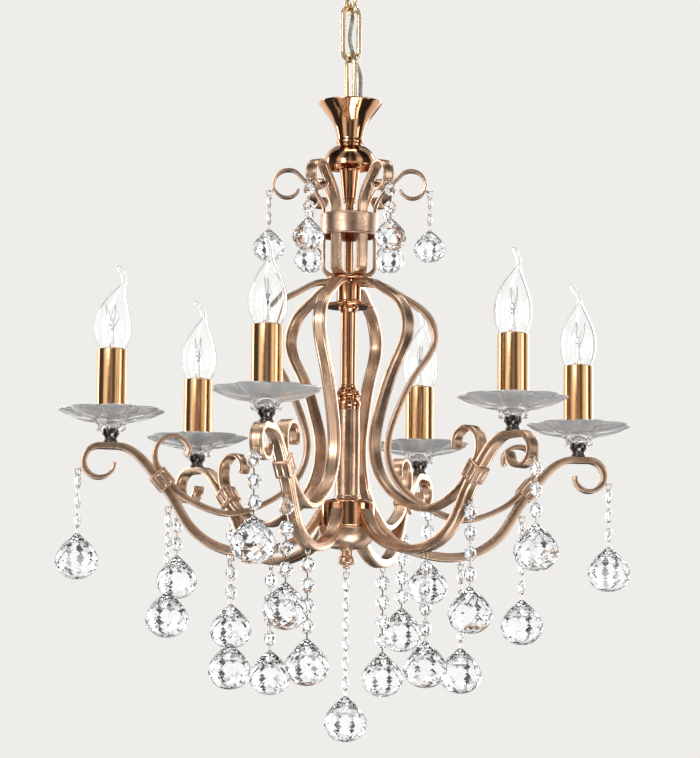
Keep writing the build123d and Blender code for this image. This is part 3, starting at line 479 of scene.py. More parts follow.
def place_camera():
    lens = bpy.data.cameras.new("camera")
    lens.sensor_width = SENSOR
    lens.lens = SENSOR * CAMERA_DISTANCE / VIEW_HEIGHT
    lens.clip_start, lens.clip_end = 0.05, 100.0
    lens.shift_x = SHIFT / PHOTO_HEIGHT
    camera = new_object("camera", lens)
    a, e = radians(CAMERA_AZIMUTH), radians(CAMERA_ELEVATION)
    back = Vector((sin(a) * cos(e), -cos(a) * cos(e), sin(e)))
    camera.location = (AIM + back * CAMERA_DISTANCE) * MM
    roll = Matrix.Rotation(radians(CAMERA_ROLL), 3, "Z")
    camera.rotation_mode = "QUATERNION"
    camera.rotation_quaternion = (
        (-back).to_track_quat("-Z", "Y").to_matrix() @ roll).to_quaternion()
    bpy.context.scene.camera = camera


place_camera()


# ---- supply cord ---------------------------------------------------------------------------
CORD_ROUTE = [  # the model's own: along the upper link, across it, z
    (0.0, 16.0, -13.0), (0.0, 16.0, -40.0), (4.8, 12.4, -48.5), (6.0, 8.5, -60.0),
    (3.0, 6.1, -71.5), (0.8, 5.6, -83.5), (4.4, 6.2, -95.0), (8.6, 5.6, -106.5),
    (10.8, 0.5, -118.5), (9.0, -4.0, -131.0), (7.2, -6.6, -143.5), (5.4, -6.8, -155.0),
    (1.7, -3.6, -165.5), (0.0, 0.0, -176.0), (0.0, 0.0, -187.0)]
CORD_PARTS = [  # body above, body below, lowest z, where its bend begins and ends
    ("ceiling", "upper_link", -80.0, -44.0, -72.0),
    ("upper_link", "lower_link", -127.0, -90.0, -118.0),
    ("lower_link", "fixture", -200.0, -136.0, -164.0)]


def cord_line():
    """Points along the cord's smooth line, read from its spline."""
    curve = bpy.data.curves.new("cord_line", "CURVE")
    curve.dimensions, curve.resolution_u = "3D", 10
    spline = curve.splines.new("NURBS")
    spline.points.add(len(CORD_ROUTE) - 1)
    for point, place in zip(spline.points, CORD_ROUTE):
        point.co = (*(turn_z(CHAIN_TURN) @ Vector(place) * MM), 1.0)
    spline.order_u = 3
    spline.use_endpoint_u = True
    carrier = bpy.data.objects.new("cord_line", curve)
    mesh = bpy.data.meshes.new_from_object(carrier)
    points = [v.co / MM for v in mesh.vertices]
    bpy.data.objects.remove(carrier)
    bpy.data.curves.remove(curve)
    bpy.data.meshes.remove(mesh)
    return points


def supply_cord():
    """The cord in three lengths, each running across one joint of the chain."""
    route = cord_line()
    first = 0
    for above, below, lowest, bend_start, bend_end in CORD_PARTS:
        last = max(i for i, p in enumerate(route) if p.z >= lowest)
        shape = wire(route[first:last + 1], CORD_R, 16, across=(1, 0, 0))
        name = f"supply_cord_{above}"
        made = new_object(name, make_mesh(name, shape, CORD))
        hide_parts("supply_cord")
        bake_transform(made)
        first = last


supply_cord()


# ---- ceiling fitting and chain -------------------------------------------------------------
def oval(length, width, steps=12):
    """The middle line of an oval link in the XZ plane, its upper wire at z = 0."""
    bend_r = width / 2 - WIRE_R
    angles = np.linspace(0, pi, steps + 1)
    upper = [(bend_r * cos(a), 0, bend_r * sin(a) - bend_r) for a in angles]
    return upper + [(-x, 0, -z - 2 * bend_r - (length - width)) for x, _, z in upper]


def chain_wire(path, turn, top=0.0, closed=True):
    return moved(wire(path, WIRE_R, 20, closed=closed), turn_z(CHAIN_TURN + turn) @ at(0, 0, top))


def canopy():
    outside = smooth_line([(CANOPY_R, -1.5), (50.5, -12), (39, -21), (24.5, -29.2)],
                          (0, -1), (-1, -0.15))
    inside = [(r - 1.3, z + 0.6) for r, z in outside]
    return lathe([*inside[::-1], (CANOPY_R - 2, 0), (CANOPY_R, 0, 0.2), *outside, (20, -30),
                  (5, -30), (5, -28.8), (20, -28.8)], WIDE, 0.3)


def canopy_rim():
    """A rolled bead where the canopy meets the ceiling."""
    angles = np.linspace(0, 2 * pi, 13)[:-1]
    return lathe([(CANOPY_R + 1.1 * cos(a), -1.4 + 1.2 * sin(a)) for a in angles], WIDE, 0)


def threads(radius, top, bottom):
    """A threaded tube: its crests and roots follow each other down the outside."""
    pitch, depth, wall = 1.0, 0.35, 1.5
    outline = [(radius - wall, bottom), (radius - wall, top)]
    for i in range(int((top - bottom) / pitch * 2)):
        outline.append((radius - depth * (i % 2), top - i * pitch / 2))
    return lathe(outline, SMALL_TURNED, 0)


def screw(head_r, height, slot_width):
    """A pan-head screw's head, and a dark bar across its face that stands for the slot: painted
    shade, not a cut.
    """
    head = lathe([(0, 0), (head_r, 0), (head_r, -height * 0.45, 0.5),
                  (head_r * 0.72, -height * 0.9, 0.8), (0, -height)], 32, 0.3)
    # the slot is not cut: this thin box lies across the head's face, and its dark finish is painted
    # shade where the slot would be
    bar = facets([(x * head_r * 0.86, y * slot_width / 2, -height - 0.05 + z * 0.3)
                  for z in (0, 1) for x, y in ((-1, -1), (1, -1), (1, 1), (-1, 1))],
                 [(0, 1, 2, 3), (7, 6, 5, 4), (0, 4, 5, 1), (1, 5, 6, 2), (2, 6, 7, 3),
                  (3, 7, 4, 0)])
    return head, bar


piece("canopy_shell", canopy(), ROSE_PLATE, "canopy", "ceiling")
piece("canopy_bead", canopy_rim(), ROSE_PLATE, body="ceiling")
loop_collar = lathe([(0, -30), (7.6, -30), (9.0, -32.0, 0.8), (9.0, -33.6), (8.3, -34.2),
                     (8.3, -35.0), (9.0, -35.6), (9.0, -37.5, 0.8), (6.0, -40.2, 1.0), (0, -40.2)])
piece("canopy_collar", loop_collar, ROSE_PLATE, "canopy_loop", "ceiling")
piece("canopy_ring", chain_wire(oval(RING_WIDTH, RING_WIDTH, 16), 90, RING_TOP), CHAIN_WIRE,
      "canopy_loop", "ceiling")
bush = lathe([(2.1, -27.6), (3.9, -27.6), (3.9, -29.9), (5.4, -29.9, 0.5), (5.2, -31.2, 0.6),
              (2.1, -31.2)], SMALL_TURNED)
piece("cord_bush_ring", bush, BUSH, "cord_bush", "ceiling",
      turn_z(CHAIN_TURN + 90) @ at(BUSH_OUT))
piece("canopy_thread", threads(4.9, 0, -35), ZINC, "canopy_nipple", "ceiling")

screw_head, screw_slot_painted_shade = screw(4.0, 2.4, 0.9)
for side in (-1, 1):
    place = at(side * BOLT_SPACING / 2, 0, -2.0) @ turn_z(35 * side)
    piece(f"bracket_screw_{side + 2}", screw_head, ZINC, None, "ceiling", place)
    # a dark box on each head: painted shade for the slot
    piece(f"bracket_slot_painted_shade_{side + 2}", screw_slot_painted_shade, DARK_NICKEL_AND_SLOT_SHADE, None, "ceiling", place)

for name, top, turn in (("upper", UPPER_LINK_TOP, 0), ("lower", LOWER_LINK_TOP, 90)):
    piece(f"link_{name}", chain_wire(oval(LINK_LENGTH, LINK_WIDTH), turn, top), CHAIN_WIRE,
          f"chain_link_{name}", f"{name}_link")

BOW_R, BOW_MIDDLE, BOW_FOOT = 7.5, -154.0, -182.0
bow = [(BOW_R * cos(a), 0, BOW_R * sin(a) + BOW_MIDDLE) for a in np.linspace(0, pi, 17)]
bow = [(BOW_R, 0, BOW_FOOT), (BOW_R, 0, BOW_MIDDLE - 14), *bow, (-BOW_R, 0, BOW_MIDDLE - 14),
       (-BOW_R, 0, BOW_FOOT)]
piece("top_bow", chain_wire(bow, 0, closed=False), CHAIN_WIRE, "top_loop")
foot = lathe([(0, -181.5), (4.2, -181.5), (4.2, -180.2, 0.5), (3.2, -179.4, 0.5), (0, -179.4)], 32)
piece("bow_feet", joined([moved(foot, turn_z(CHAIN_TURN) @ at(side * BOW_R)) for side in (-1, 1)]),
      CHAIN_WIRE)


# ---- centre column -------------------------------------------------------------------------
def turned(name, node, outline, finish=ROSE_PLATE, sides=WIDE, soft=0.4):
    piece(name, lathe(outline, sides, soft), finish, node)


trumpet = smooth_line([(30.1, -147.6), (24.6, -155.5), (18.4, -164), (14.2, -173.5),
                       (12.3, TRUMPET_FLOOR)])
trumpet_inside = [(r - 1.5, z) for r, z in trumpet if z > TRUMPET_FLOOR + 1]
turned("trumpet", "trumpet_cup", [
    *trumpet, (12.3, -183), (13.1, -184.2), (13.1, -186.6), (12.0, -187.6),
    (12.0, TRUMPET_BOTTOM), (BORE_R, TRUMPET_BOTTOM), (BORE_R, TRUMPET_FLOOR),
    (11.0, TRUMPET_FLOOR), *trumpet_inside[::-1], (29.2, TRUMPET_TOP, 0.4),
    (30.1, TRUMPET_TOP, 0.4)], soft=0.3)

dome = smooth_line([(11.9, TRUMPET_BOTTOM), (18.8, -193.0), (23.6, -199.5), (25.5, -208.2)],
                   (1, 0), (0, -1))
dome_inside = [(r - 1.3, z - 0.8) for r, z in dome[4:]]
turned("dome", "dome_cap", [
    (BORE_R, TRUMPET_BOTTOM), *dome, (26.2, -208.6), (26.2, DOME_BOTTOM), (24.6, DOME_BOTTOM),
    *dome_inside[::-1], (BORE_R, TRUMPET_BOTTOM - 1.4)], soft=0.3)

z, shoulder = CONE_BOTTOM, DOME_BOTTOM - 1.0
turned("cone", "column_cone", [
    (0, TRUMPET_BOTTOM - 1.2), (6.1, TRUMPET_BOTTOM - 1.2), (6.1, shoulder - 0.2, 1.0),
    (10.2, shoulder, 0.5), (10.2, shoulder - 1.6), (9.4, shoulder - 2.3), (6.2, z + 4, 6),
    (5.2, z + 2.5), (6.0, z + 1.6, 0.5), (5.4, z), (0, z)], sides=TURNED)

TUBE_TOP, TUBE_BOTTOM = -179.5, -581.0
turned("tube", "centre_tube", [(TUBE_BORE_R, TUBE_TOP), (TUBE_R, TUBE_TOP), (TUBE_R, TUBE_BOTTOM),
                               (TUBE_BORE_R, TUBE_BOTTOM)], sides=SMALL_TURNED)

turned("spider", "spider_plate", [
    (BORE_R, -259.1), (6.9, -259.1, 0.6), (6.9, -264.0, 0.8), (22.4, -264.0, 0.4),
    (22.4, -268.0, 0.4), (BORE_R, -268.0)])

# the band that holds the six scrolls, its edges rolled over
turned("band", "scroll_band", [
    (25.8, BAND_TOP), (27.7, BAND_TOP, 0.6), (28.0, BAND_TOP - 1.2), (27.6, BAND_TOP - 2.0),
    (27.6, BAND_BOTTOM + 2.0), (28.0, BAND_BOTTOM + 1.2), (27.7, BAND_BOTTOM, 0.6),
    (25.8, BAND_BOTTOM)], CLAMP_CAST)

top, z = HUB_TOP, HUB_BOTTOM
turned("hub", "upper_hub", [
    (0, top), (20.6, top, 0.8), (21.3, top - 1.5, 0.8), (20.6, top - 3.0, 0.8),
    (12.8, top - 3.0, 1.2), (11.5, top - 5.2, 0.8), (11.5, z + 6.4), (12.6, z + 5.4),
    (12.6, z + 3.9), (11.9, z + 2.9), (23.0, z + 2.8, 0.6), (23.9, z + 1.4, 0.6), (23.0, z, 0.6),
    (0, z)])

top, z = HUB_BOTTOM, ROD_BOTTOM
turned("rod", "centre_rod", [
    (0, top), (9.6, top, 0.6), (9.4, top - 1.8), (7.3, top - 5.4, 1.6), (7.2, z + 3.2),
    (8.1, z + 2.2, 0.5), (8.1, z), (0, z)], sides=TURNED)

top, z = ROD_BOTTOM, KNUCKLE_BOTTOM
turned("knuckle", "mid_knuckle", [
    (0, top), (8.6, top, 0.5), (9.6, top - 2.0, 0.8), (12.9, top - 5.4, 1.6),
    (12.4, top - 7.4, 1.0), (9.6, top - 9.4, 1.0), (9.6, top - 10.8, 0.6), (12.3, top - 13.0, 1.2),
    (12.5, top - 16.4, 1.2), (11.6, top - 18.0, 0.6), (11.6, z), (0, z)])

top, z = KNUCKLE_BOTTOM, DRUM_TOP
turned("column", "lower_column", [
    (0, top), (11.45, top, 0.3), (11.45, z + 2.6), (12.6, z + 1.6, 0.5), (13.0, z, 0.4), (0, z)],
    BAR_PLATE)

top, z = DRUM_TOP, DRUM_BOTTOM
turned("drum", "arm_drum", [
    (0, top), (13.4, top, 0.6), (24.6, top - 2.9, 1.2), (26.7, top - 4.6, 1.4), (26.7, z + 1.6),
    (26.0, z + 0.9, 0.3), (26.0, z), (0, z)])

top, z = DRUM_BOTTOM, CUP_BOTTOM
cup_side = smooth_line([(26.5, top - 0.9), (25.9, -561.4), (21.3, -569.2), (12.4, -573.2)],
                       (0, -1), (-1, -0.1))
turned("cup", "bottom_cup", [
    (0, top), (26.0, top), (26.8, top - 0.5, 0.3), *cup_side, (7.2, z), (0, z)], CLAMP_CAST)

top, z = CUP_BOTTOM, FINIAL_BOTTOM
turned("finial", "bottom_finial", [
    (0, top), (6.9, top, 0.4), (6.2, -575.4, 0.5), (6.2, -580.2), (7.6, -581.7, 0.6),
    (8.2, -583.2, 0.8), (8.2, -586.6, 0.8), (6.4, z, 0.8), (3.9, z - 0.4, 0.4),
    (3.9, STEM_BOTTOM + 0.8), (3.2, STEM_BOTTOM, 0.5), (0, STEM_BOTTOM)], CLAMP_CAST, TURNED)


# ---- bent bars -----------------------------------------------------------------------------
EDGE_R = 0.8
GROOVE_IN, GROOVE_DEEP = 1.9, 0.3  # a line cut near each edge
TIP = 2.2  # length of a bar's rounded tip
TIP_SHARES = (0.35, 0.65, 0.85, 0.97)


def bar_section(thick, width):
    """A flat bar's section with rounded edges and a line cut near each edge, as (side, across).

    The corners beside each line and edge keep the flat from shading as if it were round.
    """
    half, groove = width / 2, width / 2 - GROOVE_IN
    edge, deep = min(EDGE_R, thick * 0.3), min(GROOVE_DEEP, thick * 0.14)
    quarter = [(0.0, groove - 0.65), (0.0, groove - 0.4), (deep, groove), (0.0, groove + 0.4),
               (0.0, half - edge - 0.2), (0.0, half - edge), (edge * 0.3, half - edge * 0.3),
               (edge, half)]
    outside = [(thick / 2 - inset, a) for inset, a in quarter]
    return ([(s, -a) for s, a in outside[::-1]] + outside + [(-s, a) for s, a in outside[::-1]]
            + [(-s, -a) for s, a in outside])


def bar(spans, width):
    """A bent bar from spans of (line, thickness at its start and end), with a rounded tip."""
    path, thicks = [], []
    for line, thick, end_thick in spans:
        lengths = np.linalg.norm(np.diff(np.array(line), axis=0), axis=1)
        shares = np.concatenate(([0.0], np.cumsum(lengths) / lengths.sum()))
        first = 1 if path else 0
        path += list(line)[first:]
        thicks += [thick + (end_thick - thick) * s for s in shares][first:]
    last = np.array(path[-1])
    run = (last - np.array(path[-2])) / np.linalg.norm(last - np.array(path[-2]))
    keep = [i for i, p in enumerate(path) if np.linalg.norm(np.array(p) - last) > TIP]
    path = [path[i] for i in keep] + [last - run * TIP * (1 - share) for share in TIP_SHARES]
    thicks = [thicks[i] for i in keep] + [thicks[-1]] * len(TIP_SHARES)
    widths = [width] * len(keep)
    widths += [width * (0.55 + 0.45 * sqrt(1 - share**2)) for share in TIP_SHARES]
    sections = [bar_section(t, w) for t, w in zip(thicks, widths)]
    return sweep([(x, 0, z) for x, z in path], sections, (0, 1, 0))


CLAMP_RUN = direction(CLAMP_SLOPE)
CLAMP_ACROSS = direction(CLAMP_SLOPE - 90)


def held(offset):
    """The ends of a bar's straight run through the clamp, so far from the clamp's middle line."""
    middle = np.array(CLAMP) + CLAMP_ACROSS * offset
    half = CLAMP_RUN * (CLAMP_LENGTH / 2 + 1)
    return middle - half, middle + half


def upper_scroll():
    foot_z = HUB_TOP + 1.75
    foot_end, rise_start = (16.2, foot_z), (24.2, foot_z + 8.0)
    foot = straight((11.3, foot_z), foot_end)
    bent = smooth_line([foot_end, rise_start], (1, 0), (0, 1), 1.5)
    upright = straight(rise_start, (24.2, BAND_TOP + 2.0))
    top = curl((59.0, -227.0), 15.0, 150, -160, 31, 3.5)
    rise = smooth_line([upright[-1], (29.2, BAND_TOP + 17.0), *top], (0, 1), direction(110))
    return bar([(foot, 3.5, 3.5), (bent, 3.5, 3.5), (upright, 3.5, 3.5), (rise, 3.5, 2.0)],
               SCROLL_WIDTH)


def cage_strap():
    foot_z = HUB_TOP - 5.5
    low, high = held(-4.0)
    up = [(50.0, 208.5), (75.8, 191.5), (84.0, 170.5), (67.5, 137.5), (47.0, 97.0), (38.6, 64.0),
          (47.0, 33.5), (80.0, 6.5), (113.0, -3.0), (140.0, 4.0)]
    foot = straight((11.8, foot_z), (24.0, foot_z))
    cage = smooth_line([(24.0, foot_z), *[(x, DRUM_MIDDLE + z) for x, z in up], low],
                       (1, 0), CLAMP_RUN)
    offsets = [(3.6, 9.0), (2.0, 22.0), (-7.5, 30.0), (-20.0, 29.5), (-28.0, 20.5), (-26.5, 12.0)]
    tip = smooth_line([high, *[high + np.array(o) for o in offsets]],
                      CLAMP_RUN, direction(-60), 1.5)
    return bar([(foot, 5.0, 5.0), (cage, 5.0, 5.0), (straight(low, high), 5.0, 5.0),
                (tip, 5.0, 3.0)], BAR_WIDTH)


def candle_arm():
    low, high = held(2.5)
    inner = [(DRUM_R - 1.0, 1.0), (39.0, -19.5), (54.0, -29.5), (76.0, -36.5), (100.6, -39.0),
             (124.0, -34.0), (150.0, -15.0)]
    inner = smooth_line([*[(x, DRUM_MIDDLE + z) for x, z in inner], low], direction(-62),
                        CLAMP_RUN)
    top_z = DRUM_MIDDLE + 57.3
    level = [(CANDLE_OUT - 6.5, top_z), (CANDLE_OUT + 6.5, top_z)]
    over = smooth_line([high, (200.0, top_z - 7.5), level[0]], CLAMP_RUN, (1, 0), 1.5)
    tip = smooth_line([level[1], *curl((235.0, top_z - 15.3), 15.3, 90, -180, 30, 1.3)],
                      (1, 0), None, 1.5)
    return bar([(inner, 8.0, 8.0), (straight(low, high), 8.0, 8.0), (over, 8.0, 6.0),
                (straight(*level), 6.0, 6.0), (tip, 6.0, 3.0)], BAR_WIDTH)


CLAMP_TALL, CLAMP_WIDE, CLAMP_CORNER = 8.4, 7.9, 1.3  # half sizes, and a corner
CLAMP_PANELS = [  # shares of a side, and how sunk: two panels beside a rib
    (0.18, 0), (0.22, 1), (0.42, 1), (0.46, 0), (0.54, 0), (0.58, 1), (0.78, 1), (0.82, 0)]
CLAMP_END = [(0, -1.0, 0), (0.5, -0.3, 0), (1.2, 0, 0), (2.6, 0, 0), (3.2, 0, 0.6)]


def clamp_section(grow, sunk):
    tall, across = CLAMP_TALL + grow, CLAMP_WIDE + grow
    corners = [(tall, -across), (tall, across), (-tall, across), (-tall, -across)]
    corners = [np.array(c) for c in corners]
    outline = []
    for a, b in zip(corners, corners[1:] + corners[:1]):
        run = (b - a) / np.linalg.norm(b - a)
        inwards = np.array((-run[1], run[0]))
        outline.append(a + run * CLAMP_CORNER)
        for share, deep in CLAMP_PANELS:
            outline.append(a + (b - a) * share + inwards * deep * sunk)
        outline += [b - run * CLAMP_CORNER, b + (inwards - run) * CLAMP_CORNER * 0.25]
    return outline


def clamp_sleeve():
    """The cast clamp: a collar at each end, and on each face two sunk panels beside a rib."""
    half = CLAMP_LENGTH / 2
    stations = [(in_from_end - half, grow, sunk) for in_from_end, grow, sunk in CLAMP_END]
    stations += [(-along, grow, sunk) for along, grow, sunk in stations[::-1]]
    path = [np.array(CLAMP) + CLAMP_RUN * along for along, _, _ in stations]
    return sweep([(x, 0, z) for x, z in path],
                 [clamp_section(grow, sunk) for _, grow, sunk in stations], (0, 1, 0))


six("upper_scroll", upper_scroll(), BAR_PLATE, "upper_scrolls", turn=SCROLL_TURN)
six("cage_strap", cage_strap(), BAR_PLATE, "cage_straps")
six("candle_arm", candle_arm(), BAR_PLATE, "candle_arms")
six("arm_clamp", clamp_sleeve(), CLAMP_CAST, "arm_clamps")


# ---- candles -------------------------------------------------------------------------------
def stem_cup():
    z = ARM_TOP
    return lathe([(0, z), (6.9, z, 0.4), (6.9, z + 1.2, 0.4), (5.8, z + 3.2, 1.2),
                  (5.8, z + 5.0, 1.2), (8.2, z + 8.2, 1.0), (8.2, z + 11.2), (7.4, z + 12.2),
                  (7.8, DISH_BOTTOM, 0.3), (0, DISH_BOTTOM)], 64)


PETALS = 8
DISH_SIDES = 160
DISH_R = 50.4
NOTCH = 0.17  # how far the rim draws in between two petals, as a share of its radius
PETAL_BOW = 1.5
RIM_WIDTH = 12.0  # over which the bow fades out towards the edge
DISH_BELOW = [  # radius, height above the dish's foot, share of the petals' shape
    (8.4, 0.0, 0.0), (9.6, 0.5, 0.25), (10.6, 2.0, 0.35), (13.2, 4.4, 0.4), (16.4, 6.4, 0.4),
    (18.2, 7.1, 0.3), (21.0, 7.5, 0.35), (25.5, 8.2, 0.5), (30.5, 9.4, 0.65), (35.5, 11.0, 0.8),
    (40.5, 12.9, 0.9), (45.0, 14.8, 1.0), (48.6, 16.3, 1.0), (50.0, 16.9, 1.0), (50.3, 17.4, 1.0),
    (49.7, 17.8, 1.0)]
DISH_ABOVE = [
    (48.0, 17.6, 1.0), (44.0, 16.6, 1.0), (39.0, 15.5, 0.9), (33.0, 14.3, 0.75), (27.0, 13.2, 0.6),
    (21.0, 12.3, 0.4), (16.5, 11.6, 0.15), (12.0, 11.5, 0.0), (4.6, 11.5, 0.0), (4.6, 0.0, 0.0)]


def dish():
    """A pressed-glass dish: a fluted boss, and thick petals hollowed above, rounded below."""
    rings = []
    for rows, rounding in ((DISH_BELOW, 1.2), (DISH_ABOVE, 0.7)):
        for r, up, shaped in rows:
            rim = min(1.0, (DISH_R - r) / RIM_WIDTH + 0.15)
            ring = []
            for a in np.arange(DISH_SIDES) * 2 * pi / DISH_SIDES:
                middle = abs(cos(a * PETALS / 2))  # 1 along the middle of a petal, 0 between two
                radius = r * (1 - NOTCH * shaped * (1 - middle) ** 1.5)
                bow = PETAL_BOW * shaped * (middle ** 0.7 - 0.5) * rim * rounding
                ring.append((radius * cos(a), radius * sin(a), DISH_BOTTOM + max(up - bow, 0)))
            rings.append(ring)
    return skin(rings, closed=True)


def drops(count, radius, out, up, stretch=1.0, turn=0.0):
    """Small clear drops in a ring."""
    outline = [(radius * sin(a), radius * stretch * cos(a)) for a in np.linspace(0, pi, 9)]
    drop = lathe([*outline, (0, -radius * stretch)], 20, 0)
    return [moved(drop, turn_z(360 * (i + turn) / count) @ at(out, 0, up)) for i in range(count)]


def dish_drops():
    """Clear drops round the sleeve's foot and round the dish's boss."""
    return joined(drops(10, 3.3, 18.2, DISH_FLOOR + 4.3, stretch=1.15)
                  + drops(8, 2.9, 11.4, DISH_BOTTOM + 0.6, turn=0.5))


def sleeve():
    outside, inside = SLEEVE_R + 0.25, 12.6
    return lathe([(inside, DISH_FLOOR), (outside, DISH_FLOOR, 0.3), (outside, SLEEVE_TOP - 0.6),
                  (SLEEVE_R - 0.2, SLEEVE_TOP, 0.4), (12.9, SLEEVE_TOP, 0.3),
                  (inside, SLEEVE_TOP - 1.5)], WIDE, 0.3)


def holder():
    return lathe([(0, -447.5), (11.0, -447.5), (11.0, -403.0), (10.4, -401.5, 0.5),
                  (7.6, -401.5, 0.5), (7.6, -424.0), (0, -424.0)], SMALL_TURNED)


def cap():
    return lathe([(0, GLASS_BOTTOM), (7.0, GLASS_BOTTOM, 0.3), (7.0, -399.0), (6.6, -400.2),
                  (7.0, -401.4), (7.0, -414.5), (3.2, -420.0, 1.0), (0, -420.5)], SMALL_TURNED)


BULB_SIDES = 48
BULB_WALL = 1.1
BULB_HOLLOW = 0.8  # share of the height, up to the drawn tail
BULB_ROWS = [  # shares of the height, of the radius, of the neck's lean, of the tip's lean
    (0.0, 0.55, 0, 0), (0.036, 0.70, 0, 0), (0.09, 0.83, 0, 0), (0.17, 0.95, 0, 0),
    (0.26, 1.0, 0, 0), (0.36, 0.985, 0, 0), (0.47, 0.87, 0.03, 0), (0.57, 0.68, 0.15, 0),
    (0.66, 0.46, 0.38, 0), (0.73, 0.28, 0.66, 0), (0.79, 0.17, 0.9, 0.02), (0.86, 0.145, 0.9, 0.2),
    (0.93, 0.15, 0.45, 0.62), (0.985, 0.14, 0.06, 0.95), (1.0, 0.09, 0.0, 1.0)]
BULB_LEANS = [  # each tail was bent by hand: millimetres at the neck and the tip, and its way
    (1.5, -7.0, -11.3), (4.0, 0.5, 20.0), (5.2, -3.4, -11.3), (9.9, 5.6, -11.3), (2.4, -1.5, 5.0),
    (4.8, 0.8, -20.0)]


def bulb(neck_lean, tip_lean):
    """A blown bulb, hollow up to its drawn tail, whose neck and tip lean sideways."""
    points = [(GLASS_R * r, GLASS_BOTTOM + GLASS_HEIGHT * up, neck_lean * a + tip_lean * b)
              for up, r, a, b in BULB_ROWS]
    outside = smooth_line(points, step=2.2)
    hollow_top = GLASS_BOTTOM + BULB_HOLLOW * GLASS_HEIGHT
    inside = [(r - BULB_WALL, z, lean) for r, z, lean in outside if z < hollow_top]
    rows = [*outside, (0, *outside[-1][1:]), (0, *inside[-1][1:]), *inside[::-1]]
    angles = np.arange(BULB_SIDES) * 2 * pi / BULB_SIDES
    return skin([[(r * cos(a) + lean, r * sin(a), z) for a in angles] for r, z, lean in rows],
                closed=True)


def mount_stem():
    """The pressed glass stem inside a bulb."""
    z = GLASS_BOTTOM + 1.0
    return lathe([(0, z), (5.6, z, 0.5), (3.6, z + 5, 2.0), (2.0, z + 16, 3.0), (1.4, z + 27.0),
                  (2.0, z + 28.6, 0.6), (1.2, z + 30.2, 0.5), (0, z + 30.4)], 24)


SUPPORT_R, FILAMENT_R = 0.22, 0.12
COIL_R, COIL_TURNS, COIL_POINTS = 0.45, 10, 24


def filament():
    """Support wires spread from the stem, and the filament zigzagging between their tips."""
    foot = GLASS_BOTTOM + 25.0
    parts, tips = [], []
    for i, side in enumerate((-1.0, -0.35, 0.35, 1.0)):
        tip = (side * 6.4, 0.8 * (-1) ** i, foot + (20.0 if i % 2 else 8.0))
        path = smooth_line([(side * 0.9, 0, foot - 4), (side * 3.4, 0, foot + 3), tip],
                           (0, 0, 1), None, 1.5)
        parts.append(wire(path, SUPPORT_R, 6))
        tips.append(np.array(tip))
    coil = []
    for a, b in zip(tips, tips[1:]):
        for share in np.arange(COIL_POINTS) / COIL_POINTS:
            turn = share * COIL_TURNS * 2 * pi
            coil.append(a + (b - a) * share + COIL_R * np.array((cos(turn), sin(turn), 0)))
    return joined([*parts, wire(coil, FILAMENT_R, 5)])


six("stem_cup", stem_cup(), DARK_NICKEL_AND_SLOT_SHADE, "candle_cups", CANDLE_OUT)
six("dish", dish(), PRESSED, "drip_dishes", CANDLE_OUT)
six("dish_drops", dish_drops(), CRYSTAL, None, CANDLE_OUT)
six("sleeve", sleeve(), SLEEVE_GOLD, "candle_sleeves", CANDLE_OUT)
six("holder", holder(), HOLDER, "lamp_holders", CANDLE_OUT)
six("bulb_cap", cap(), CAP_BRASS, "bulb_caps", CANDLE_OUT)
for i, (neck_lean, tip_lean, way) in enumerate(BULB_LEANS):
    piece(f"bulb_{i + 1}", bulb(neck_lean, tip_lean), BLOWN, "bulb_envelopes",
          place=arm_places(CANDLE_OUT)[i] @ turn_z(way - STEP * i))
six("bulb_stem", mount_stem(), BLOWN, "filament_mounts", CANDLE_OUT)
six("bulb_filament", filament(), TUNGSTEN, "filament_mounts", CANDLE_OUT)


# ---- crystals ------------------------------------------------------------------------------
def cut_stone(rows, sides, point=None):
    """Facets between rows of (radius, z, turn in facets), closed by a table, or by a point at z."""
    corners, faces = [], []
    for radius, z, turn in rows:
        for k in range(sides):
            a = 2 * pi * (k + turn) / sides
            corners.append((radius * cos(a), radius * sin(a), z))
    for i, (row, below) in enumerate(zip(rows, rows[1:])):
        for k in range(sides):
            a, b = i * sides + k, i * sides + (k + 1) % sides
            c, d = a + sides, b + sides
            if row[2] == below[2]:
                faces.append((a, b, d, c))
            elif row[2]:
                faces += [(a, d, c), (a, b, d)]
            else:
                faces += [(a, b, c), (c, b, d)]
    last = len(corners) - sides
    if point is not None:
        corners.append((0, 0, point))
        faces += [(last + k, last + (k + 1) % sides, last + sides) for k in range(sides)]
    faces.append(tuple(range(sides))[::-1])
    if point is None:
        faces.append(tuple(range(last, last + sides)))
    return facets(corners, faces)


BALL_SIDES = 14
BALL_ROWS = [  # shares of the radius: across, down
    (0.07, 0.0), (0.17, 0.09), (0.37, 0.27), (0.62, 0.50), (0.84, 0.78), (0.97, 1.06), (1.0, 1.27),
    (0.93, 1.55), (0.76, 1.79), (0.53, 1.97), (0.27, 2.06)]
BALL_POINT = 2.095
BEAD_SIDES = 8
BEAD_ROWS = [  # shares of the radius and of the half thickness, turn in facets
    (0.42, 1, 0.5), (0.72, 0.72, 0), (0.97, 0.16, 0.5), (0.97, -0.16, 0.5), (0.72, -0.72, 0),
    (0.42, -1, 0.5)]


def crystal_ball(radius):
    """A cut ball whose top is drawn up to a drilled point, at z = 0."""
    rows = [(r * radius, -down * radius, i % 2 / 2) for i, (r, down) in enumerate(BALL_ROWS)]
    return cut_stone(rows, BALL_SIDES, -BALL_POINT * radius)


def octagon_bead(across, thick):
    """A flat eight-sided bead across the X axis: a table on each side, and two rows of facets."""
    radius = across / 2 / cos(pi / BEAD_SIDES)
    rows = [(radius * r, thick / 2 * up, turn) for r, up, turn in BEAD_ROWS]
    corners, faces, lay = cut_stone(rows, BEAD_SIDES)
    return [(z, x, y) for x, y, z in corners], faces, lay


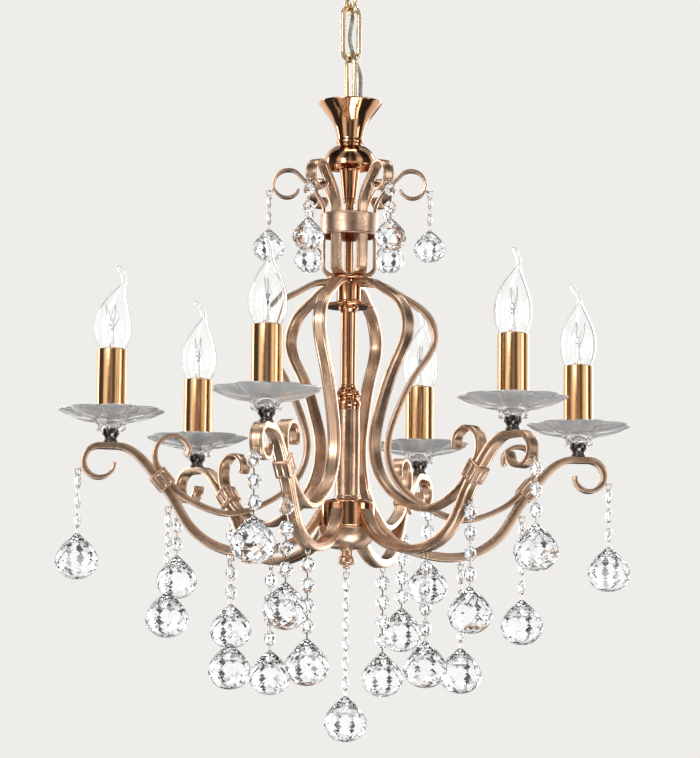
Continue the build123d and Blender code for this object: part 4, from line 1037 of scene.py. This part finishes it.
HOLE_IN = 1.9  # from a bead's edge to the middle of its hole
STRAND_TOP = -3.6
PIN_R, PIN_HALF = 0.33, 1.0
RING_R = 0.5  # wire of the rings and eyes
LARGE = (14.0, 5.6, 18.5, 20.5)  # beads across, thick and apart, and the ball's radius
SMALL = (12.0, 5.0, 16.2, 15.0)
FAMILIES = [  # name, pivot from the axis and z, way its eye faces, turn from the arms, make-up
    ("end_strand", (254.678, -506.124), -23.3, 0.0, (3, *LARGE)),
    ("outer_strand", (169.521, -539.904), -36.5, 0.0, (4, *LARGE)),
    ("inner_strand", (110.078, -586.761), -81.8, 0.0, (4, *LARGE)),
    ("top_strand", (76.324, -233.311), -22.3, SCROLL_TURN, (2, *SMALL))]


def strand(beads, across, thick, pitch, ball_r):
    """Crystals and wires of a strand that hangs from the origin."""
    length = pitch - across + 2 * HOLE_IN
    pin = bent_wire([(PIN_HALF, 0), (PIN_HALF, -length), (-PIN_HALF, -length), (-PIN_HALF, 0)],
                    0.6, PIN_R, 8, steps=3)
    ring = bent_wire([(-3.0, 1.3), (3.0, 1.3), (1.6, -5.4), (-1.6, -5.4)], 1.5, RING_R)
    stones, wires = [], [ring]
    for i in range(beads):
        top = STRAND_TOP - i * pitch
        stones.append(moved(octagon_bead(across, thick), at(0, 0, top - across / 2)))
        wires.append(moved(pin, at(0, 0, top - across + HOLE_IN)))
    stones.append(moved(crystal_ball(ball_r), at(0, 0, STRAND_TOP - beads * pitch)))
    return joined(stones), joined(wires)


def eye(tilt):
    """A fixed wire eye whose outer wire is at the origin; it stands on a surface behind it."""
    half, reach = 2.2, 5.9
    path = soften([(half, reach), (half, 0.0), (-half, 0.0), (-half, reach)], 1.4, closed=False)
    shape = wire([(0, y, z) for y, z in path], RING_R, 10, across=(1, 0, 0))
    return moved(shape, Matrix.Rotation(-radians(tilt + 90), 4, "Y"))


def hang(name, pivot, tilt, turn, make_up, names):
    """Strands of one family, each on a body of its own, and their eyes on the fixture."""
    stones, wires = strand(*make_up)
    places = arm_places(*pivot, turn)
    eyes = [f"{name}_eye_{i + 1}" for i in range(len(names))]
    for kind, shape, finish, slot, smooth in (("crystals", stones, CRYSTAL, "crystal", False),
                                              ("wires", wires, PIN_WIRE, "steel", True)):
        pieces([f"{n}_{kind}" for n in names], shape, finish, places, names, names, smooth)
    pieces(eyes, eye(tilt), PIN_WIRE, places, ["fixture"] * ARM_COUNT,
           ["strand_eyes"] * ARM_COUNT)


for family in FAMILIES:
    hang(*family, [f"{family[0]}_{i + 1}" for i in range(ARM_COUNT)])
hang("centre_strand", (0.0, -596.7), -90.0, 0.0, (6, *LARGE), ["centre_strand"])


# ---- nodes that stay as modelled, with their edges rounded ---------------------------------
EDGE_WIDTH = 0.5
for name, finish in (("ceiling_bracket", ZINC), ("terminal_block", BLOCK)):
    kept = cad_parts[name]
    kept.data.materials.clear()
    kept.data.materials.append(finish)
    rounding = kept.modifiers.new("edges", "BEVEL")
    rounding.width, rounding.segments, rounding.limit_method = EDGE_WIDTH * MM, 2, "ANGLE"


# ---- stage and light, in metres ------------------------------------------------------------
BACKGROUND = "#EFEDEA"
FLOOR_HALF, FLOOR_HEIGHT = 14.0, -2.6
FLOOR_FADE = (4.0, 11.0)  # where it begins and ends
FLOOR_LIFT = 0.6  # share of the background's own colour that the camera sees in the floor


def floor():
    """A pale floor far below, which fades into the pale background towards its edge."""
    mesh = bpy.data.meshes.new("floor")
    corners = [(-FLOOR_HALF, -FLOOR_HALF), (FLOOR_HALF, -FLOOR_HALF), (FLOOR_HALF, FLOOR_HALF),
               (-FLOOR_HALF, FLOOR_HALF)]
    mesh.from_pydata([(*corner, FLOOR_HEIGHT) for corner in corners], [], [(0, 1, 2, 3)])
    made, tree, shader = material("floor_matt_pale")
    here = add(tree, "ShaderNodeNewGeometry").outputs
    rays = add(tree, "ShaderNodeLightPath").outputs
    away = add(tree, "ShaderNodeVectorMath", [here["Position"]], operation="LENGTH")
    grain = pattern(tree, here["Position"], 6.0)
    colour = add(tree, "ShaderNodeMix", {0: grain, 6: linear("#F1EFEC"), 7: linear("#EAE7E3")},
                 data_type="RGBA")
    feed(shader, {"Base Color": colour, "Roughness": 0.8})
    bent = add(tree, "ShaderNodeMath", [rays["Is Glossy Ray"], rays["Is Transmission Ray"]],
               operation="MAXIMUM")
    unseen = add(tree, "ShaderNodeMath", [here["Backfacing"], bent], operation="MAXIMUM")
    faded = add(tree, "ShaderNodeMapRange", [away, *FLOOR_FADE, 0.0, 1.0])
    hidden = add(tree, "ShaderNodeMath", [faded, unseen], operation="MAXIMUM")
    pale = add(tree, "ShaderNodeEmission", [linear(BACKGROUND), 1.0])
    lift = add(tree, "ShaderNodeMath", [rays["Is Camera Ray"], FLOOR_LIFT], operation="MULTIPLY")
    lifted = add(tree, "ShaderNodeMixShader", [lift, shader, pale])
    clear = add(tree, "ShaderNodeBsdfTransparent")
    mix = add(tree, "ShaderNodeMixShader", [hidden, lifted, clear])
    feed(tree.nodes["Material Output"], {"Surface": mix})
    mesh.materials.append(made)
    new_object("floor", mesh)


# what light and reflections see, as (share of the way round or up, level of light)
ROOM_STRENGTH = 1.25
ROOM_ROUND = [  # bright panels with dark gaps
    (0.0, 0.04), (0.04, 0.05), (0.07, 0.95), (0.12, 0.9), (0.15, 0.1), (0.19, 0.06), (0.22, 0.35),
    (0.25, 0.06), (0.29, 0.08), (0.32, 0.9), (0.36, 0.95), (0.39, 0.04), (0.5, 0.03), (0.54, 0.9),
    (0.63, 1.0), (0.66, 0.05), (0.74, 0.04), (0.77, 1.0), (0.86, 0.9), (0.89, 0.04), (1.0, 0.04)]
ROOM_UP = [(0.0, 0.5), (0.06, 0.3), (0.14, 0.9), (0.36, 1.0), (0.72, 1.0), (0.8, 0.4), (0.9, 0.35),
           (1.0, 1.0)]
# what shows through glass: narrow dark strips all round, of which one is given, and dark rings
STRIPS = 13
STRIPS_TURN = -0.343
STRIP = [(0.0, 0.83), (0.37, 0.83), (0.45, 0.04), (0.55, 0.04), (0.63, 0.83)]
RINGS = [
    (0.0, 0.55), (0.1, 0.7), (0.115, 0.1), (0.13, 0.75), (0.275, 0.9), (0.29, 0.15), (0.305, 0.95),
    (0.5, 1.0), (0.695, 1.0), (0.71, 0.15), (0.725, 1.0), (0.86, 0.85), (0.875, 0.1), (0.89, 0.8),
    (1.0, 0.6)]


def light_levels(levels, warm=0.0):
    """Levels of light as colours; warm is the share of blue that they lack."""
    return [(where, (level, level * (1 - warm * 0.4), level * (1 - warm), 1))
            for where, level in levels]


def surroundings():
    """Pale behind the object; for light and reflections, a room with panels and dark gaps."""
    world = bpy.data.worlds.new("studio")
    world.use_nodes = True
    bpy.context.scene.world = world
    tree = world.node_tree
    rays = add(tree, "ShaderNodeLightPath").outputs
    way = add(tree, "ShaderNodeTexCoord").outputs["Generated"]
    parts = add(tree, "ShaderNodeSeparateXYZ", [way]).outputs
    angle = add(tree, "ShaderNodeMath", [parts["Y"], parts["X"]], operation="ARCTAN2")
    share = add(tree, "ShaderNodeMapRange", [angle, -pi, pi, 0.0, 1.0])
    high = add(tree, "ShaderNodeMapRange", [parts["Z"], -1.0, 1.0, 0.0, 1.0])
    strips = add(tree, "ShaderNodeMath", [share, STRIPS, STRIPS_TURN], operation="MULTIPLY_ADD")
    strip = add(tree, "ShaderNodeMath", [strips, 1.0], operation="FLOORED_MODULO")
    views = []
    for along, levels, rising in ((share, light_levels(ROOM_ROUND, 0.04), ROOM_UP),
                                  (strip, light_levels(STRIP, 0.02), RINGS)):
        wide = add(tree, "ShaderNodeValToRGB", [along], levels)
        tall = add(tree, "ShaderNodeValToRGB", [high], light_levels(rising))
        views.append(add(tree, "ShaderNodeMix", {0: 1.0, 6: wide, 7: tall},
                         data_type="RGBA", blend_type="MULTIPLY"))
    lit = add(tree, "ShaderNodeMix", {0: rays["Is Transmission Ray"], 6: views[0], 7: views[1]},
              data_type="RGBA")
    seen = add(tree, "ShaderNodeMix", {0: rays["Is Camera Ray"], 6: lit, 7: linear(BACKGROUND)},
               data_type="RGBA")
    strength = add(tree, "ShaderNodeMath",
                   [rays["Is Camera Ray"], 1 - ROOM_STRENGTH, ROOM_STRENGTH],
                   operation="MULTIPLY_ADD")
    feed(tree.nodes["Background"], {"Color": seen, "Strength": strength})


LIT = Vector((0, 0, -0.4))  # what the softboxes face
SOFTBOXES = [  # name, place, width, height, watts
    ("key", (-2.2, -2.6, 0.9), 1.1, 1.1, 38.0),
    ("fill", (2.8, -1.8, -0.4), 0.9, 1.8, 17.0),
    ("rim_left", (-2.4, 1.8, 0.2), 0.6, 2.0, 24.0),
    ("rim_right", (2.2, 2.2, 0.4), 0.6, 2.0, 24.0),
    ("top", (0.0, 0.0, 2.2), 1.4, 1.4, 30.0),
    ("low", (0.4, -1.2, -2.4), 1.4, 1.4, 36.0)]


def softbox(name, place, width, height, power):
    light = bpy.data.lights.new(name, "AREA")
    light.shape = "RECTANGLE"
    light.size, light.size_y, light.energy = width, height, power
    lamp = new_object(name, light)
    lamp.location = place
    lamp.rotation_mode = "QUATERNION"
    lamp.rotation_quaternion = (LIT - Vector(place)).to_track_quat("-Z", "Y")
    lamp.visible_camera = False


floor()
surroundings()
for box in SOFTBOXES:
    softbox(*box)

bpy.context.scene.view_settings.view_transform = "Standard"
